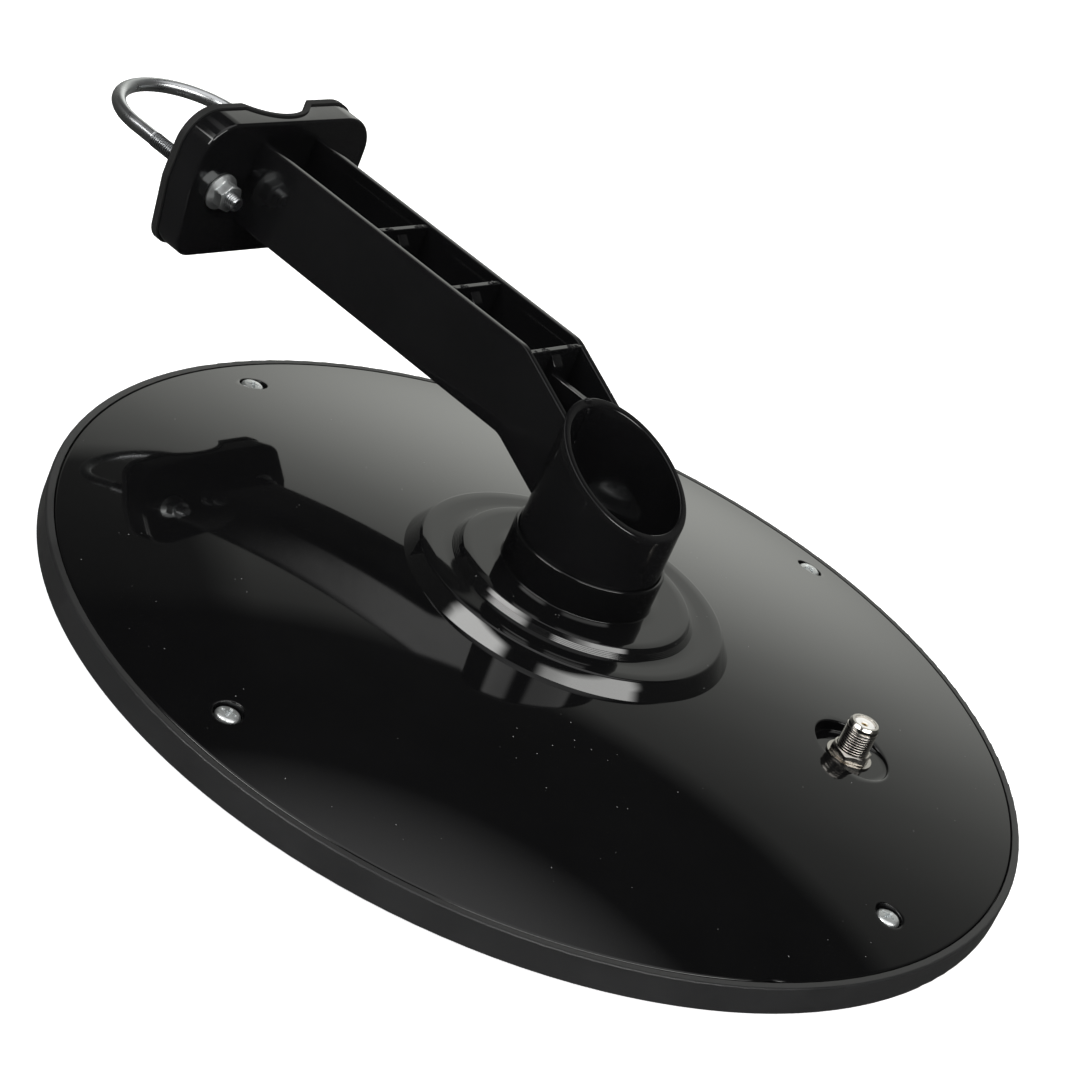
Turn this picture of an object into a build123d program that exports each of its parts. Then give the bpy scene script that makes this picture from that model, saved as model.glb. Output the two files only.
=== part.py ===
from build123d import *
import math
import os

os.makedirs("parts", exist_ok=True)

# Disc television antenna with a moulded mast arm. Millimetres, +Z up.
# The origin is the centre of the disc's flat front face, which the part lies on.
# The arm points along +Y, and a mast in its clamp runs along Z.

# ---------------------------------------------------------------- disc housing
DISC_R = 150.0          # outer radius of the front shell
RIM_H = 9.0             # front face to rim lip
SHELL_T = 2.2           # wall of both shells
LIP_W = 2.4             # width of the rim lip
SEAM_GAP = 0.4          # groove between the lip and the back cover
RIM_FILLET = 1.2        # front edge of the rim
LIP_FILLET = 0.7        # outer edge of the lip
LEDGE_W = 3.2           # ledge inside the rim that carries the gasket and the cover
LEDGE_Z = 5.4           # height of that ledge
GASKET_T = 0.8          # gasket as squeezed between ledge and cover
GASKET_W = 2.0
DOME_RISE = 18.1        # rim lip to the top of the dome, if it had no boss
COVER_EDGE_R = 0.7      # rounded edge of the back cover
NOTCH_W = 3.0           # prising notch in the cover's edge
NOTCH_ANGLE = -112.6    # its place, degrees from +X

# ---------------------------------------------------------------- centre boss and neck socket
BOSS_FOOT_R = 49.9      # foot of the bevel, on the dome
BOSS_BEVEL_R = 46.45    # top of the bevel
BOSS_BEVEL_H = 20.7     # height of the bevel's top above the lip
STEP_FOOT_R = 37.0
STEP_TOP_R = 34.8
STEP_H = 2.6            # height of the step above the bevel's top
SOCKET_WALL = 1.35
SOCKET_H = 10.6         # socket rim above the step
TUBE_R = 21.6           # outer radius of the arm's tube
RUN_CLEAR = 0.06        # radial clearance of a running fit
FACE_CLEAR = 0.1        # clearance between faces that turn on each other
POST_R = 7.0            # pivot post inside the socket
POST_H = 5.6

# ---------------------------------------------------------------- cover screws
SCREW_INSET = 17.4      # screw circle, in from the disc's edge
SCREW_HEAD_R = 3.45
SCREW_HEAD_H = 2.1
SCREW_SHANK_R = 1.5
SCREW_L = 6.0
SCREW_BORE_R = 4.2      # counterbore in the cover
SCREW_SINK = 1.2        # head top below the dome
HOLE_CLEAR = 0.25       # radial clearance of a screw's through hole
THREAD_CLEAR = 0.02     # radial clearance where a thread bites
SCREW_BOSS_R = 4.6

# ---------------------------------------------------------------- F connector
CONN_RADIUS = 92.3      # distance of the connector from the disc's axis
CONN_ANGLE = -61.2      # its place, degrees from +X
RECESS_R = 12.1
RECESS_FLOOR = 8.7      # recess floor above the rim lip
CONN_THREAD_R = 4.7625  # 3/8-32 thread
CONN_TIP = 12.1         # tip above the recess floor
CONN_COLLAR_H = 2.0     # plain collar at the tip
CONN_COLLAR_R = 4.4
CONN_RELIEF_H = 0.5     # thread relief above the nut
CONN_RELIEF_R = 4.25
CONN_FLANGE_R = 7.2
CONN_FLANGE_T = 1.5
CONN_BARREL_R = 6.0
CONN_NUT_AF = 11.1
CONN_NUT_T = 2.4
CONN_WASHER_R = 6.9
CONN_WASHER_T = 0.6
INSULATOR_R = 3.2
INSULATOR_SINK = 0.5    # insulator face below the tip
CONTACT_R = 0.95
CONTACT_BORE_R = 0.45

# ---------------------------------------------------------------- aerial elements and boards
BOARD_T = 1.6
BOARD_Z = 8.4           # underside of both boards
ELEMENT_T = 0.8
ELEMENT_W = 10.0
ELEMENT_TIP_INSET = 46.0  # centre line of the element's arc, in from the disc's edge
ELEMENT_ARC = 30.0      # half angle of that arc
ELEMENT_ROOT_R = 22.0
ELEMENT_FIX_R = 30.0    # inner element screw
PHASING_HALF = 25.0     # half side of the square phasing board
AMP_IN = 44.0           # amplifier board, inner end before the connector
AMP_OUT = 19.0          # and outer end past the connector
AMP_HALF_W = 19.0
AMP_EDGE = 5.0          # board screw to the board's edge
SUPPORT_R = 3.6
SMALL_HEAD_R = 2.5
SMALL_HEAD_H = 1.6
SMALL_SHANK_R = 1.2
SMALL_L = 6.0
CAN_SIZE = (24.0, 24.0, 4.5)
CORE_SIZE = (13.0, 8.0, 7.0)
COAX_R = 1.5

# ---------------------------------------------------------------- mast arm
TUBE_WALL = 2.4
TUBE_TOP_Z = 69.3       # height of the oblique mouth on the tube's axis
TUBE_SLANT = 25.0       # slope of the mouth, degrees
WEB_Z = 38.2            # web across the tube, held by the pivot screw
WEB_T = 2.4
ARM_HALF_W = 13.0
ARM_WALL = 2.2
ARM_BOTTOM_Z = 59.5
ARM_H = 27.2
ARM_BEND_TOP_Y = 39.0
ARM_BEND_BOTTOM_Y = 36.0
ARM_DROP = 24.5         # slope of the stretch down to the tube, degrees
ARM_BEND_R = 8.0
ARM_LENGTH = 153.0      # tube axis to the front face of the mast plate
RIB_T = 1.8
RIB_SINK = 0.6          # rib tops below the wall tops
RIB_SHARES = (0.245, 0.466, 0.673)  # rib places along the arm
SPINE_T = 2.0
SPINE_TOP = 19.6        # spine top above the arm's bottom
RIB_POST_W = 4.0
RIB_POST_D = 2.6
PLATE_T = 9.0
PLATE_H = 45.0
PLATE_HALF_W = 36.4     # at mid-height
PLATE_TOP_HALF_W = 35.8
PLATE_FOOT_HALF_W = 32.2
PLATE_TOP_R = 12.0      # rounding of the two top corners
PLATE_FOOT_R = 7.5      # rounding of the two bottom corners
PLATE_DROP = 2.9        # plate centre below the arm's centre
PLATE_FILLET = 1.0
PAD_T = 2.6
PAD_LINING = 1.6
PAD_GROW = 0.6
MAST_R = 17.0           # radius of the mast groove
GROOVE_DEPTH = 7.2      # groove bottom in from the pad's face

# ---------------------------------------------------------------- U-bolt and flange nuts
UBOLT_R = 2.25
UTHREAD_R = 2.42
UBOLT_HALF_SPAN = 23.0
UBOLT_LEG = 47.6        # leg tip to the centre of the bow
UTHREAD_L = 39.6
UBOLT_STICK = 8.2       # leg tip in front of the plate
UBOLT_HOLE_CLEAR = 0.38
NUT_AF = 8.0
NUT_H = 5.0
NUT_FLANGE_R = 5.9
NUT_FLANGE_T = 1.1

# ---------------------------------------------------------------- pivot hardware
PIVOT_R = 3.0
PIVOT_HEAD_R = 5.6
PIVOT_HEAD_H = 3.2
PIVOT_WASHER_R = 9.0
PIVOT_WASHER_T = 1.2
PIVOT_NUT_AF = 10.0
PIVOT_NUT_T = 5.0
PIVOT_TAIL = 1.5        # screw end past its nut

# ---------------------------------------------------------------- worked out
COVER_R = DISC_R - LIP_W - SEAM_GAP
SKIRT_Z = LEDGE_Z + GASKET_T
SPHERE_R = (COVER_R ** 2 + DOME_RISE ** 2) / (2 * DOME_RISE)
BEVEL_Z = RIM_H + BOSS_BEVEL_H
FLOOR_Z = BEVEL_Z + STEP_H
SOCKET_Z = FLOOR_Z + SOCKET_H
SOCKET_BORE = TUBE_R + RUN_CLEAR
SOCKET_R = SOCKET_BORE + SOCKET_WALL
SCREW_CIRCLE = DISC_R - SCREW_INSET
CONN_FLOOR_Z = RIM_H + RECESS_FLOOR
BOARD_TOP = BOARD_Z + BOARD_T
ELEMENT_R = DISC_R - ELEMENT_TIP_INSET
TUBE_BORE = TUBE_R - TUBE_WALL
ARM_TOP_Z = ARM_BOTTOM_Z + ARM_H
PLATE_Z = ARM_BOTTOM_Z + ARM_H / 2 - PLATE_DROP
PLATE_BACK = ARM_LENGTH + PLATE_T
PAD_BACK = PLATE_BACK + PAD_T
MAST_Y = PAD_BACK - GROOVE_DEPTH + MAST_R
LEG_TIP_Y = ARM_LENGTH - UBOLT_STICK
BOW_Y = LEG_TIP_Y + UBOLT_LEG

UPWARD = (Align.CENTER, Align.CENTER, Align.MIN)


# ---------------------------------------------------------------- helpers
def cyl(r, z0, z1, x=0.0, y=0.0):
    return Pos(x, y, z0) * Cylinder(r, z1 - z0, align=UPWARD)


def tube(r_out, r_in, z0, z1, x=0.0, y=0.0):
    return cyl(r_out, z0, z1, x, y) - cyl(r_in, z0 - 1, z1 + 1, x, y)


def box(x0, x1, y0, y1, z0, z1):
    size = Box(x1 - x0, y1 - y0, z1 - z0)
    return Pos((x0 + x1) / 2, (y0 + y1) / 2, (z0 + z1) / 2) * size


def hex_prism(across_flats, height):
    corner_r = across_flats / math.sqrt(3)
    return extrude(RegularPolygon(corner_r, 6), height)


def polar(radius, degrees):
    return radius * math.cos(math.radians(degrees)), radius * math.sin(math.radians(degrees))


def along_y(shape, x, y, z):
    """Turn a shape made along +Z so that it runs along +Y from (x, y, z)."""
    return Pos(x, y, z) * Rot(-90, 0, 0) * shape


def dome_z(r, sink=0.0):
    """Height of the cover's dome at radius r, or of a surface that lies sink below it."""
    top = RIM_H + DOME_RISE
    return top - SPHERE_R + math.sqrt((SPHERE_R - sink) ** 2 - r ** 2)


def dome_arc(r0, r1, sink=0.0):
    mid = (r0 + r1) / 2
    ends = [(r, dome_z(r, sink)) for r in (r0, mid, r1)]
    return ThreePointArc(*ends)


def pan_screw(head_r, head_h, shank_r, length):
    """Pan-head screw with a cross recess: seat at z 0, head up, shank down."""
    head = cyl(head_r, 0, head_h)
    head = fillet(head.edges().group_by(Axis.Z)[-1], head_h * 0.45)
    shank = chamfer(cyl(shank_r, -length, 0).edges().group_by(Axis.Z)[0], shank_r * 0.5)
    arm = head_r * 0.62
    slot = head_r * 0.12
    recess = box(-arm, arm, -slot, slot, head_h * 0.45, head_h + 1)
    recess += box(-slot, slot, -arm, arm, head_h * 0.45, head_h + 1)
    return head + shank - recess


def save(name, shape):
    export_step(shape, "parts/" + name + ".step")


def save_group(name, shapes):
    export_step(Compound(children=list(shapes)), "parts/" + name + ".step")


# ---------------------------------------------------------------- places
def screw_places():
    return [polar(SCREW_CIRCLE, 90 * i) for i in range(4)]


def feed_frame(shape):
    """Put a shape made with the connector on +X into its real direction."""
    return Rot(0, 0, CONN_ANGLE) * shape


def element_fixings():
    """Inner and outer screw of each dipole arm, in the feed frame."""
    turns = [45 + 90 * i for i in range(4)]
    return [polar(ELEMENT_FIX_R, t) for t in turns], [polar(ELEMENT_R, t) for t in turns]


def amp_fixings():
    x0 = CONN_RADIUS - AMP_IN + AMP_EDGE
    x1 = CONN_RADIUS + AMP_OUT - AMP_EDGE
    y = AMP_HALF_W - AMP_EDGE
    return [(x, s * y) for x in (x0, x1) for s in (-1, 1)]


# ---------------------------------------------------------------- front shell
def front_radome():
    wall_r = DISC_R - LIP_W
    ledge_r = wall_r - LEDGE_W
    outline = [(0, 0), (DISC_R, 0), (DISC_R, RIM_H), (wall_r, RIM_H), (wall_r, LEDGE_Z),
               (ledge_r, LEDGE_Z), (ledge_r, SHELL_T), (0, SHELL_T)]
    shell = revolve(Plane.XZ * make_face(Polyline(*outline, close=True)), Axis.Z)
    rims = shell.edges().filter_by(GeomType.CIRCLE)
    front = [e for e in rims if e.radius > DISC_R - 0.1 and e.center().Z < 0.1]
    shell = fillet(front, RIM_FILLET)
    lip = [e for e in shell.edges().filter_by(GeomType.CIRCLE)
           if e.radius > DISC_R - 0.1 and e.center().Z > RIM_H - 0.1]
    shell = fillet(lip, LIP_FILLET)
    boss_top = cover_seat_z() - SHELL_T
    for x, y in screw_places():
        shell += tube(SCREW_BOSS_R, SCREW_SHANK_R + THREAD_CLEAR, SHELL_T, boss_top, x, y)
    inner, outer = element_fixings()
    posts = [(x, y, BOARD_Z) for x, y in inner + amp_fixings()] + [(x, y, BOARD_TOP) for x, y in outer]
    for x, y, top in posts:
        shell += feed_frame(tube(SUPPORT_R, SMALL_SHANK_R + THREAD_CLEAR, SHELL_T, top, x, y))
    return shell


# ---------------------------------------------------------------- back cover
def cover_seat_z():
    """Height that a cover screw's head seats at."""
    return dome_z(SCREW_CIRCLE) - SCREW_SINK - SCREW_HEAD_H


def cover_outline():
    """Outer profile from the skirt up to the step, as (edges, last point)."""
    foot = (BOSS_FOOT_R, dome_z(BOSS_FOOT_R))
    bevel = (BOSS_BEVEL_R, BEVEL_Z)
    step = (STEP_FOOT_R, BEVEL_Z)
    top = (STEP_TOP_R, FLOOR_Z)
    edge = (COVER_R, dome_z(COVER_R))
    return edge, foot, bevel, step, top


def dome_solid():
    """The whole room under the dome and boss, down to the skirt's foot."""
    edge, foot, bevel, step, top = cover_outline()
    sides = Polyline(foot, bevel, step, top, (0, FLOOR_Z), (0, SKIRT_Z), (COVER_R, SKIRT_Z), edge)
    face = make_face([dome_arc(COVER_R, BOSS_FOOT_R), sides])
    return revolve(Plane.XZ * face, Axis.Z)


def cover_hollow():
    inner_r = COVER_R - SHELL_T
    foot_r = BOSS_FOOT_R - SHELL_T * 0.6
    bevel_r = BOSS_BEVEL_R - SHELL_T
    top_r = STEP_TOP_R - SHELL_T
    sides = Polyline((foot_r, dome_z(foot_r, SHELL_T)), (bevel_r, BEVEL_Z - SHELL_T),
                     (top_r, BEVEL_Z - SHELL_T), (top_r, FLOOR_Z - SHELL_T), (0, FLOOR_Z - SHELL_T),
                     (0, SKIRT_Z - 1), (inner_r, SKIRT_Z - 1), (inner_r, dome_z(inner_r, SHELL_T)))
    face = make_face([dome_arc(inner_r, foot_r, SHELL_T), sides])
    return revolve(Plane.XZ * face, Axis.Z)


def back_cover():
    whole = dome_solid()
    edges = whole.edges().filter_by(GeomType.CIRCLE)
    rounded = {COVER_R: COVER_EDGE_R, BOSS_BEVEL_R: 0.9, STEP_TOP_R: 0.5}
    for radius, size in rounded.items():
        rim = [e for e in edges if abs(e.radius - radius) < 0.01 and e.center().Z > SKIRT_Z + 0.1]
        whole = fillet(rim, size)
        edges = whole.edges().filter_by(GeomType.CIRCLE)
    cover = whole - cover_hollow()
    seat = cover_seat_z()
    conn_x, conn_y = polar(CONN_RADIUS, CONN_ANGLE)
    cups = cyl(RECESS_R + SHELL_T * 0.8, CONN_FLOOR_Z - SHELL_T, SOCKET_Z, conn_x, conn_y)
    for x, y in screw_places():
        cups += cyl(SCREW_BORE_R + SHELL_T * 0.7, seat - SHELL_T + FACE_CLEAR, SOCKET_Z, x, y)
    cover += cups & whole
    for x, y in screw_places():
        cover -= cyl(SCREW_BORE_R, seat, SOCKET_Z, x, y)
        cover -= cyl(SCREW_SHANK_R + HOLE_CLEAR, 0, SOCKET_Z, x, y)
    cover -= cyl(RECESS_R, CONN_FLOOR_Z, SOCKET_Z, conn_x, conn_y)
    cover -= cyl(CONN_THREAD_R + HOLE_CLEAR, 0, SOCKET_Z, conn_x, conn_y)
    socket = tube(SOCKET_R, SOCKET_BORE, FLOOR_Z, SOCKET_Z)
    socket = fillet(socket.edges().group_by(Axis.Z)[-1], SOCKET_WALL * 0.4)
    cover += socket
    cover += cyl(POST_R, FLOOR_Z, FLOOR_Z + POST_H)
    collar = cyl(PIVOT_NUT_AF * 0.85, FLOOR_Z - SHELL_T - PIVOT_NUT_T, FLOOR_Z - SHELL_T)
    pocket = hex_prism(PIVOT_NUT_AF + 2 * HOLE_CLEAR, PIVOT_NUT_T)
    cover += collar - Pos(0, 0, FLOOR_Z - SHELL_T - PIVOT_NUT_T) * pocket
    cover -= cyl(PIVOT_R + HOLE_CLEAR, 0, SOCKET_Z)
    notch = box(COVER_R - 0.8, COVER_R + 1, -NOTCH_W / 2, NOTCH_W / 2, RIM_H - 1.4, RIM_H + 2)
    return cover - Rot(0, 0, NOTCH_ANGLE) * notch


def rim_gasket():
    outer = COVER_R - 0.1
    return tube(outer, outer - GASKET_W, LEDGE_Z, SKIRT_Z)


def cover_screws():
    screw = pan_screw(SCREW_HEAD_R, SCREW_HEAD_H, SCREW_SHANK_R, SCREW_L)
    return [Pos(x, y, cover_seat_z()) * Rot(0, 0, 20) * screw for x, y in screw_places()]


# ---------------------------------------------------------------- F connector
def at_connector(shape):
    x, y = polar(CONN_RADIUS, CONN_ANGLE)
    return Pos(x, y, 0) * shape


def connector_body():
    flange_top = CONN_FLOOR_Z - SHELL_T
    tip = CONN_FLOOR_Z + CONN_TIP
    collar_z = tip - CONN_COLLAR_H
    body = cyl(CONN_BARREL_R, BOARD_TOP, flange_top - CONN_FLANGE_T)
    body += cyl(CONN_FLANGE_R, flange_top - CONN_FLANGE_T, flange_top)
    nut_top = CONN_FLOOR_Z + CONN_WASHER_T + CONN_NUT_T
    body += cyl(CONN_THREAD_R, flange_top, nut_top)
    body += cyl(CONN_RELIEF_R, nut_top, nut_top + CONN_RELIEF_H)
    body += cyl(CONN_THREAD_R, nut_top + CONN_RELIEF_H, collar_z)
    collar = cyl(CONN_COLLAR_R, collar_z, tip)
    body += chamfer(collar.edges().group_by(Axis.Z)[-1], 0.6)
    return at_connector(body - cyl(INSULATOR_R + THREAD_CLEAR, BOARD_TOP - 1, tip + 1))


def connector_insulator():
    tip = CONN_FLOOR_Z + CONN_TIP - INSULATOR_SINK
    return at_connector(tube(INSULATOR_R, CONTACT_R + THREAD_CLEAR, BOARD_TOP, tip))


def connector_contact():
    tip = CONN_FLOOR_Z + CONN_TIP - INSULATOR_SINK - 0.4
    pin = cyl(CONTACT_R, BOARD_TOP, tip)
    return at_connector(pin - cyl(CONTACT_BORE_R, tip - 8, tip + 1))


def connector_washer():
    washer = tube(CONN_WASHER_R, CONN_THREAD_R + THREAD_CLEAR, CONN_FLOOR_Z, CONN_FLOOR_Z + CONN_WASHER_T)
    return at_connector(washer)


def chamfered_hex(across_flats, height):
    """Hexagonal prism with the corners of its top taken off at 30 degrees."""
    corner_r = across_flats / math.sqrt(3)
    top_r = across_flats / 2 * 0.97
    fall = (corner_r + 1 - top_r) * math.tan(math.radians(30))
    cone = Pos(0, 0, height - fall) * Cone(corner_r + 1, top_r, fall, align=UPWARD)
    keep = cyl(corner_r + 1, -1, height - fall) + cone
    return hex_prism(across_flats, height) & keep


def connector_nut():
    nut = chamfered_hex(CONN_NUT_AF, CONN_NUT_T) - cyl(CONN_THREAD_R + THREAD_CLEAR, -1, CONN_NUT_T + 1)
    return at_connector(Pos(0, 0, CONN_FLOOR_Z + CONN_WASHER_T) * Rot(0, 0, 12) * nut)


# ---------------------------------------------------------------- elements and boards
def dipole_arm(index):
    """Flat strip from the phasing board outwards, ending in an arc across its tip."""
    half = ELEMENT_W / 2
    outer = tube(ELEMENT_R + half, ELEMENT_R - half, 0, ELEMENT_T)
    wedge_r = 2 * ELEMENT_R
    wedge = Polyline((0, 0), polar(wedge_r, -ELEMENT_ARC), (wedge_r * 1.2, 0), polar(wedge_r, ELEMENT_ARC),
                     close=True)
    arc = outer & extrude(make_face(wedge), ELEMENT_T)
    strip = arc + box(ELEMENT_ROOT_R, ELEMENT_R, -half, half, 0, ELEMENT_T)
    for x in (ELEMENT_FIX_R, ELEMENT_R):
        strip -= cyl(SMALL_SHANK_R + HOLE_CLEAR, -1, 2, x, 0)
    return feed_frame(Rot(0, 0, 45 + 90 * index) * Pos(0, 0, BOARD_TOP) * strip)


def phasing_board():
    s = PHASING_HALF
    board = box(-s, s, -s, s, BOARD_Z, BOARD_TOP)
    for x, y in element_fixings()[0]:
        board -= cyl(SMALL_SHANK_R + HOLE_CLEAR, 0, 20, x, y)
    return feed_frame(board)


def amplifier_board():
    board = box(CONN_RADIUS - AMP_IN, CONN_RADIUS + AMP_OUT, -AMP_HALF_W, AMP_HALF_W, BOARD_Z, BOARD_TOP)
    for x, y in amp_fixings():
        board -= cyl(SMALL_SHANK_R + HOLE_CLEAR, 0, 20, x, y)
    return feed_frame(board)


def shield_can():
    length, width, height = CAN_SIZE
    x0 = CONN_RADIUS - CONN_FLANGE_R - 2 - length
    can = box(x0, x0 + length, -width / 2, width / 2, BOARD_TOP, BOARD_TOP + height)
    wall = 0.4
    return feed_frame(can - box(x0 + wall, x0 + length - wall, wall - width / 2, width / 2 - wall,
                                BOARD_TOP - 1, BOARD_TOP + height - wall))


def board_components():
    """Two chips under the can and two coils beside the connector."""
    x_can = CONN_RADIUS - CONN_FLANGE_R - 2 - CAN_SIZE[0] / 2
    parts = [box(x_can - 2, x_can + 2, y - 2.5, y + 2.5, BOARD_TOP, BOARD_TOP + 1.4) for y in (-6, 6)]
    parts += [cyl(2.4, BOARD_TOP, BOARD_TOP + 3.2, CONN_RADIUS, y) for y in (-11, 11)]
    return [feed_frame(p) for p in parts]


def balun_core():
    x, y, z = CORE_SIZE
    core = box(-x / 2, x / 2, -y / 2, y / 2, BOARD_TOP, BOARD_TOP + z)
    for side in (-1, 1):
        hole = Rot(0, 90, 0) * Cylinder(1.3, x + 2)
        core -= Pos(0, side * y / 4, BOARD_TOP + z / 2) * hole
    return feed_frame(core)


def inner_coax():
    """Short straight jumper that lies on both boards, from the balun to the shield can."""
    x0 = CORE_SIZE[0] / 2 + 1
    x1 = CONN_RADIUS - CONN_FLANGE_R - 2 - CAN_SIZE[0]
    wire = Rot(0, 90, 0) * Cylinder(COAX_R, x1 - x0, align=UPWARD)
    return feed_frame(Pos(x0, 0, BOARD_TOP + COAX_R) * wire)


def element_screws():
    screw = pan_screw(SMALL_HEAD_R, SMALL_HEAD_H, SMALL_SHANK_R, SMALL_L)
    inner, outer = element_fixings()
    seat = BOARD_TOP + ELEMENT_T
    return [feed_frame(Pos(x, y, seat) * screw) for x, y in inner + outer]


def board_screws():
    screw = pan_screw(SMALL_HEAD_R, SMALL_HEAD_H, SMALL_SHANK_R, SMALL_L)
    return [feed_frame(Pos(x, y, BOARD_TOP) * screw) for x, y in amp_fixings()]


# ---------------------------------------------------------------- mast arm
def arm_section(bottom, top, near_y):
    """Side view of the channel between two heights, bent down towards the tube."""
    fall = math.tan(math.radians(ARM_DROP))
    drop_b = (ARM_BEND_BOTTOM_Y - near_y) * fall
    drop_t = (ARM_BEND_TOP_Y - near_y) * fall
    points = [(ARM_LENGTH + 1, bottom), (ARM_BEND_BOTTOM_Y, bottom), (near_y, bottom - drop_b),
              (near_y, top - drop_t), (ARM_BEND_TOP_Y, top), (ARM_LENGTH + 1, top)]
    face = make_face(Polyline(*points, close=True))
    bends = [v for v in face.vertices() if near_y + 1 < v.X < ARM_LENGTH]
    return Plane.YZ * fillet(bends, ARM_BEND_R)


def arm_channel():
    near_y = TUBE_BORE * 0.7
    outer = extrude(arm_section(ARM_BOTTOM_Z, ARM_TOP_Z, near_y), ARM_HALF_W, both=True)
    room = arm_section(ARM_BOTTOM_Z + ARM_WALL, ARM_TOP_Z + 2 * ARM_H, near_y - 1)
    hollow = extrude(room, ARM_HALF_W - ARM_WALL, both=True)
    ribs = box(-SPINE_T / 2, SPINE_T / 2, 0, ARM_LENGTH + 1, 0, ARM_BOTTOM_Z + SPINE_TOP)
    for share in RIB_SHARES:
        y = ARM_LENGTH * share
        top = ARM_TOP_Z - RIB_SINK
        ribs += box(-ARM_HALF_W, ARM_HALF_W, y - RIB_T / 2, y + RIB_T / 2, 0, top)
        ribs += box(-RIB_POST_W / 2, RIB_POST_W / 2, y - RIB_T / 2 - RIB_POST_D, y, 0, top - 1)
    channel = outer - (hollow - ribs)
    return channel - cyl(TUBE_R - TUBE_WALL / 2, 0, 2 * ARM_TOP_Z)


def arm_tube():
    foot = FLOOR_Z + FACE_CLEAR
    mouth = Pos(0, 0, TUBE_TOP_Z) * Rot(TUBE_SLANT, 0, 0) * Box(4 * TUBE_R, 6 * TUBE_R, 200, align=UPWARD)
    pipe = tube(TUBE_R, TUBE_BORE, foot, 2 * TUBE_TOP_Z) - mouth
    return pipe + tube(TUBE_R - 1, PIVOT_R + HOLE_CLEAR, WEB_Z, WEB_Z + WEB_T)


def plate_face(grow=0.0):
    """Outline of the mast plate in the XZ plane, as six sides with four rounded corners."""
    half_h = PLATE_H / 2
    points = [(PLATE_HALF_W, 0), (PLATE_TOP_HALF_W, half_h), (-PLATE_TOP_HALF_W, half_h),
              (-PLATE_HALF_W, 0), (-PLATE_FOOT_HALF_W, -half_h), (PLATE_FOOT_HALF_W, -half_h)]
    face = make_face(Polyline(*points, close=True))
    face = fillet([v for v in face.vertices() if v.Y > half_h - 1], PLATE_TOP_R)
    face = fillet([v for v in face.vertices() if v.Y < 1 - half_h], PLATE_FOOT_R)
    return offset(face, amount=grow) if grow else face


def slab(face, y0, y1):
    """Extrude an outline of the XZ plane, centred on the plate, from y0 to y1."""
    plane = Plane(origin=(0, y0, PLATE_Z), x_dir=(1, 0, 0), z_dir=(0, -1, 0))
    return extrude(plane * face, amount=y0 - y1)


def leg_holes():
    hole = Cylinder(UTHREAD_R + UBOLT_HOLE_CLEAR, PLATE_T + PAD_T + 4, align=UPWARD)
    y = ARM_LENGTH - 2
    return [along_y(hole, s * UBOLT_HALF_SPAN, y, PLATE_Z) for s in (-1, 1)]


def mast_plate():
    plate = slab(plate_face(), ARM_LENGTH, PLATE_BACK)
    front = plate.edges().group_by(Axis.Y)[0]
    plate = fillet(front, PLATE_FILLET)
    return plate - cyl(MAST_R + PAD_LINING, 0, 2 * ARM_TOP_Z, 0, MAST_Y)


def mast_arm():
    arm = arm_channel() + arm_tube() + mast_plate()
    for hole in leg_holes():
        arm -= hole
    return arm


def mast_pad():
    pad = slab(plate_face(PAD_GROW), PLATE_BACK, PAD_BACK)
    lining = slab(plate_face(), PLATE_BACK - GROOVE_DEPTH, PAD_BACK)
    lining &= cyl(MAST_R + PAD_LINING, 0, 2 * ARM_TOP_Z, 0, MAST_Y)
    pad = pad + lining - cyl(MAST_R, 0, 2 * ARM_TOP_Z, 0, MAST_Y)
    for hole in leg_holes():
        pad -= hole
    return pad


# ---------------------------------------------------------------- U-bolt
def u_bolt():
    bow = Pos(0, BOW_Y, PLATE_Z) * Torus(UBOLT_HALF_SPAN, UBOLT_R)
    reach = UBOLT_HALF_SPAN + 2 * UBOLT_R
    bolt = bow & box(-reach, reach, BOW_Y, BOW_Y + reach, 0, 2 * ARM_TOP_Z)
    thread = chamfer(cyl(UTHREAD_R, 0, UTHREAD_L).edges().group_by(Axis.Z)[0], 0.5)
    leg = thread + cyl(UBOLT_R, UTHREAD_L - 1, UBOLT_LEG)
    for side in (-1, 1):
        bolt += along_y(leg, side * UBOLT_HALF_SPAN, LEG_TIP_Y, PLATE_Z)
    return bolt


def flange_nut(side):
    """Hexagon nut with a conical flange that bears on the plate's front face."""
    nut = Pos(0, 0, 0) * chamfered_hex(NUT_AF, NUT_H)
    nut += cyl(NUT_FLANGE_R, 0, NUT_FLANGE_T * 0.6)
    flare = Pos(0, 0, NUT_FLANGE_T * 0.6) * Cone(NUT_FLANGE_R, NUT_AF / 2, NUT_FLANGE_T, align=UPWARD)
    nut += flare
    nut -= cyl(UTHREAD_R + RUN_CLEAR, -1, NUT_H + 1)
    turned = Rot(90, 0, 0) * Rot(0, 0, 10 * side) * nut
    return Pos(side * UBOLT_HALF_SPAN, ARM_LENGTH, PLATE_Z) * turned


# ---------------------------------------------------------------- pivot hardware
def pivot_seat_z():
    return WEB_Z + WEB_T + FACE_CLEAR


def pivot_washer():
    seat = pivot_seat_z()
    return tube(PIVOT_WASHER_R, PIVOT_R + HOLE_CLEAR, seat, seat + PIVOT_WASHER_T)


def pivot_screw():
    seat = pivot_seat_z() + PIVOT_WASHER_T
    end = FLOOR_Z - SHELL_T - PIVOT_NUT_T - PIVOT_TAIL
    return Pos(0, 0, seat) * pan_screw(PIVOT_HEAD_R, PIVOT_HEAD_H, PIVOT_R, seat - end)


def pivot_nut():
    nut = hex_prism(PIVOT_NUT_AF, PIVOT_NUT_T) - cyl(PIVOT_R + THREAD_CLEAR, -1, PIVOT_NUT_T + 1)
    return Pos(0, 0, FLOOR_Z - SHELL_T - PIVOT_NUT_T) * nut


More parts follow.
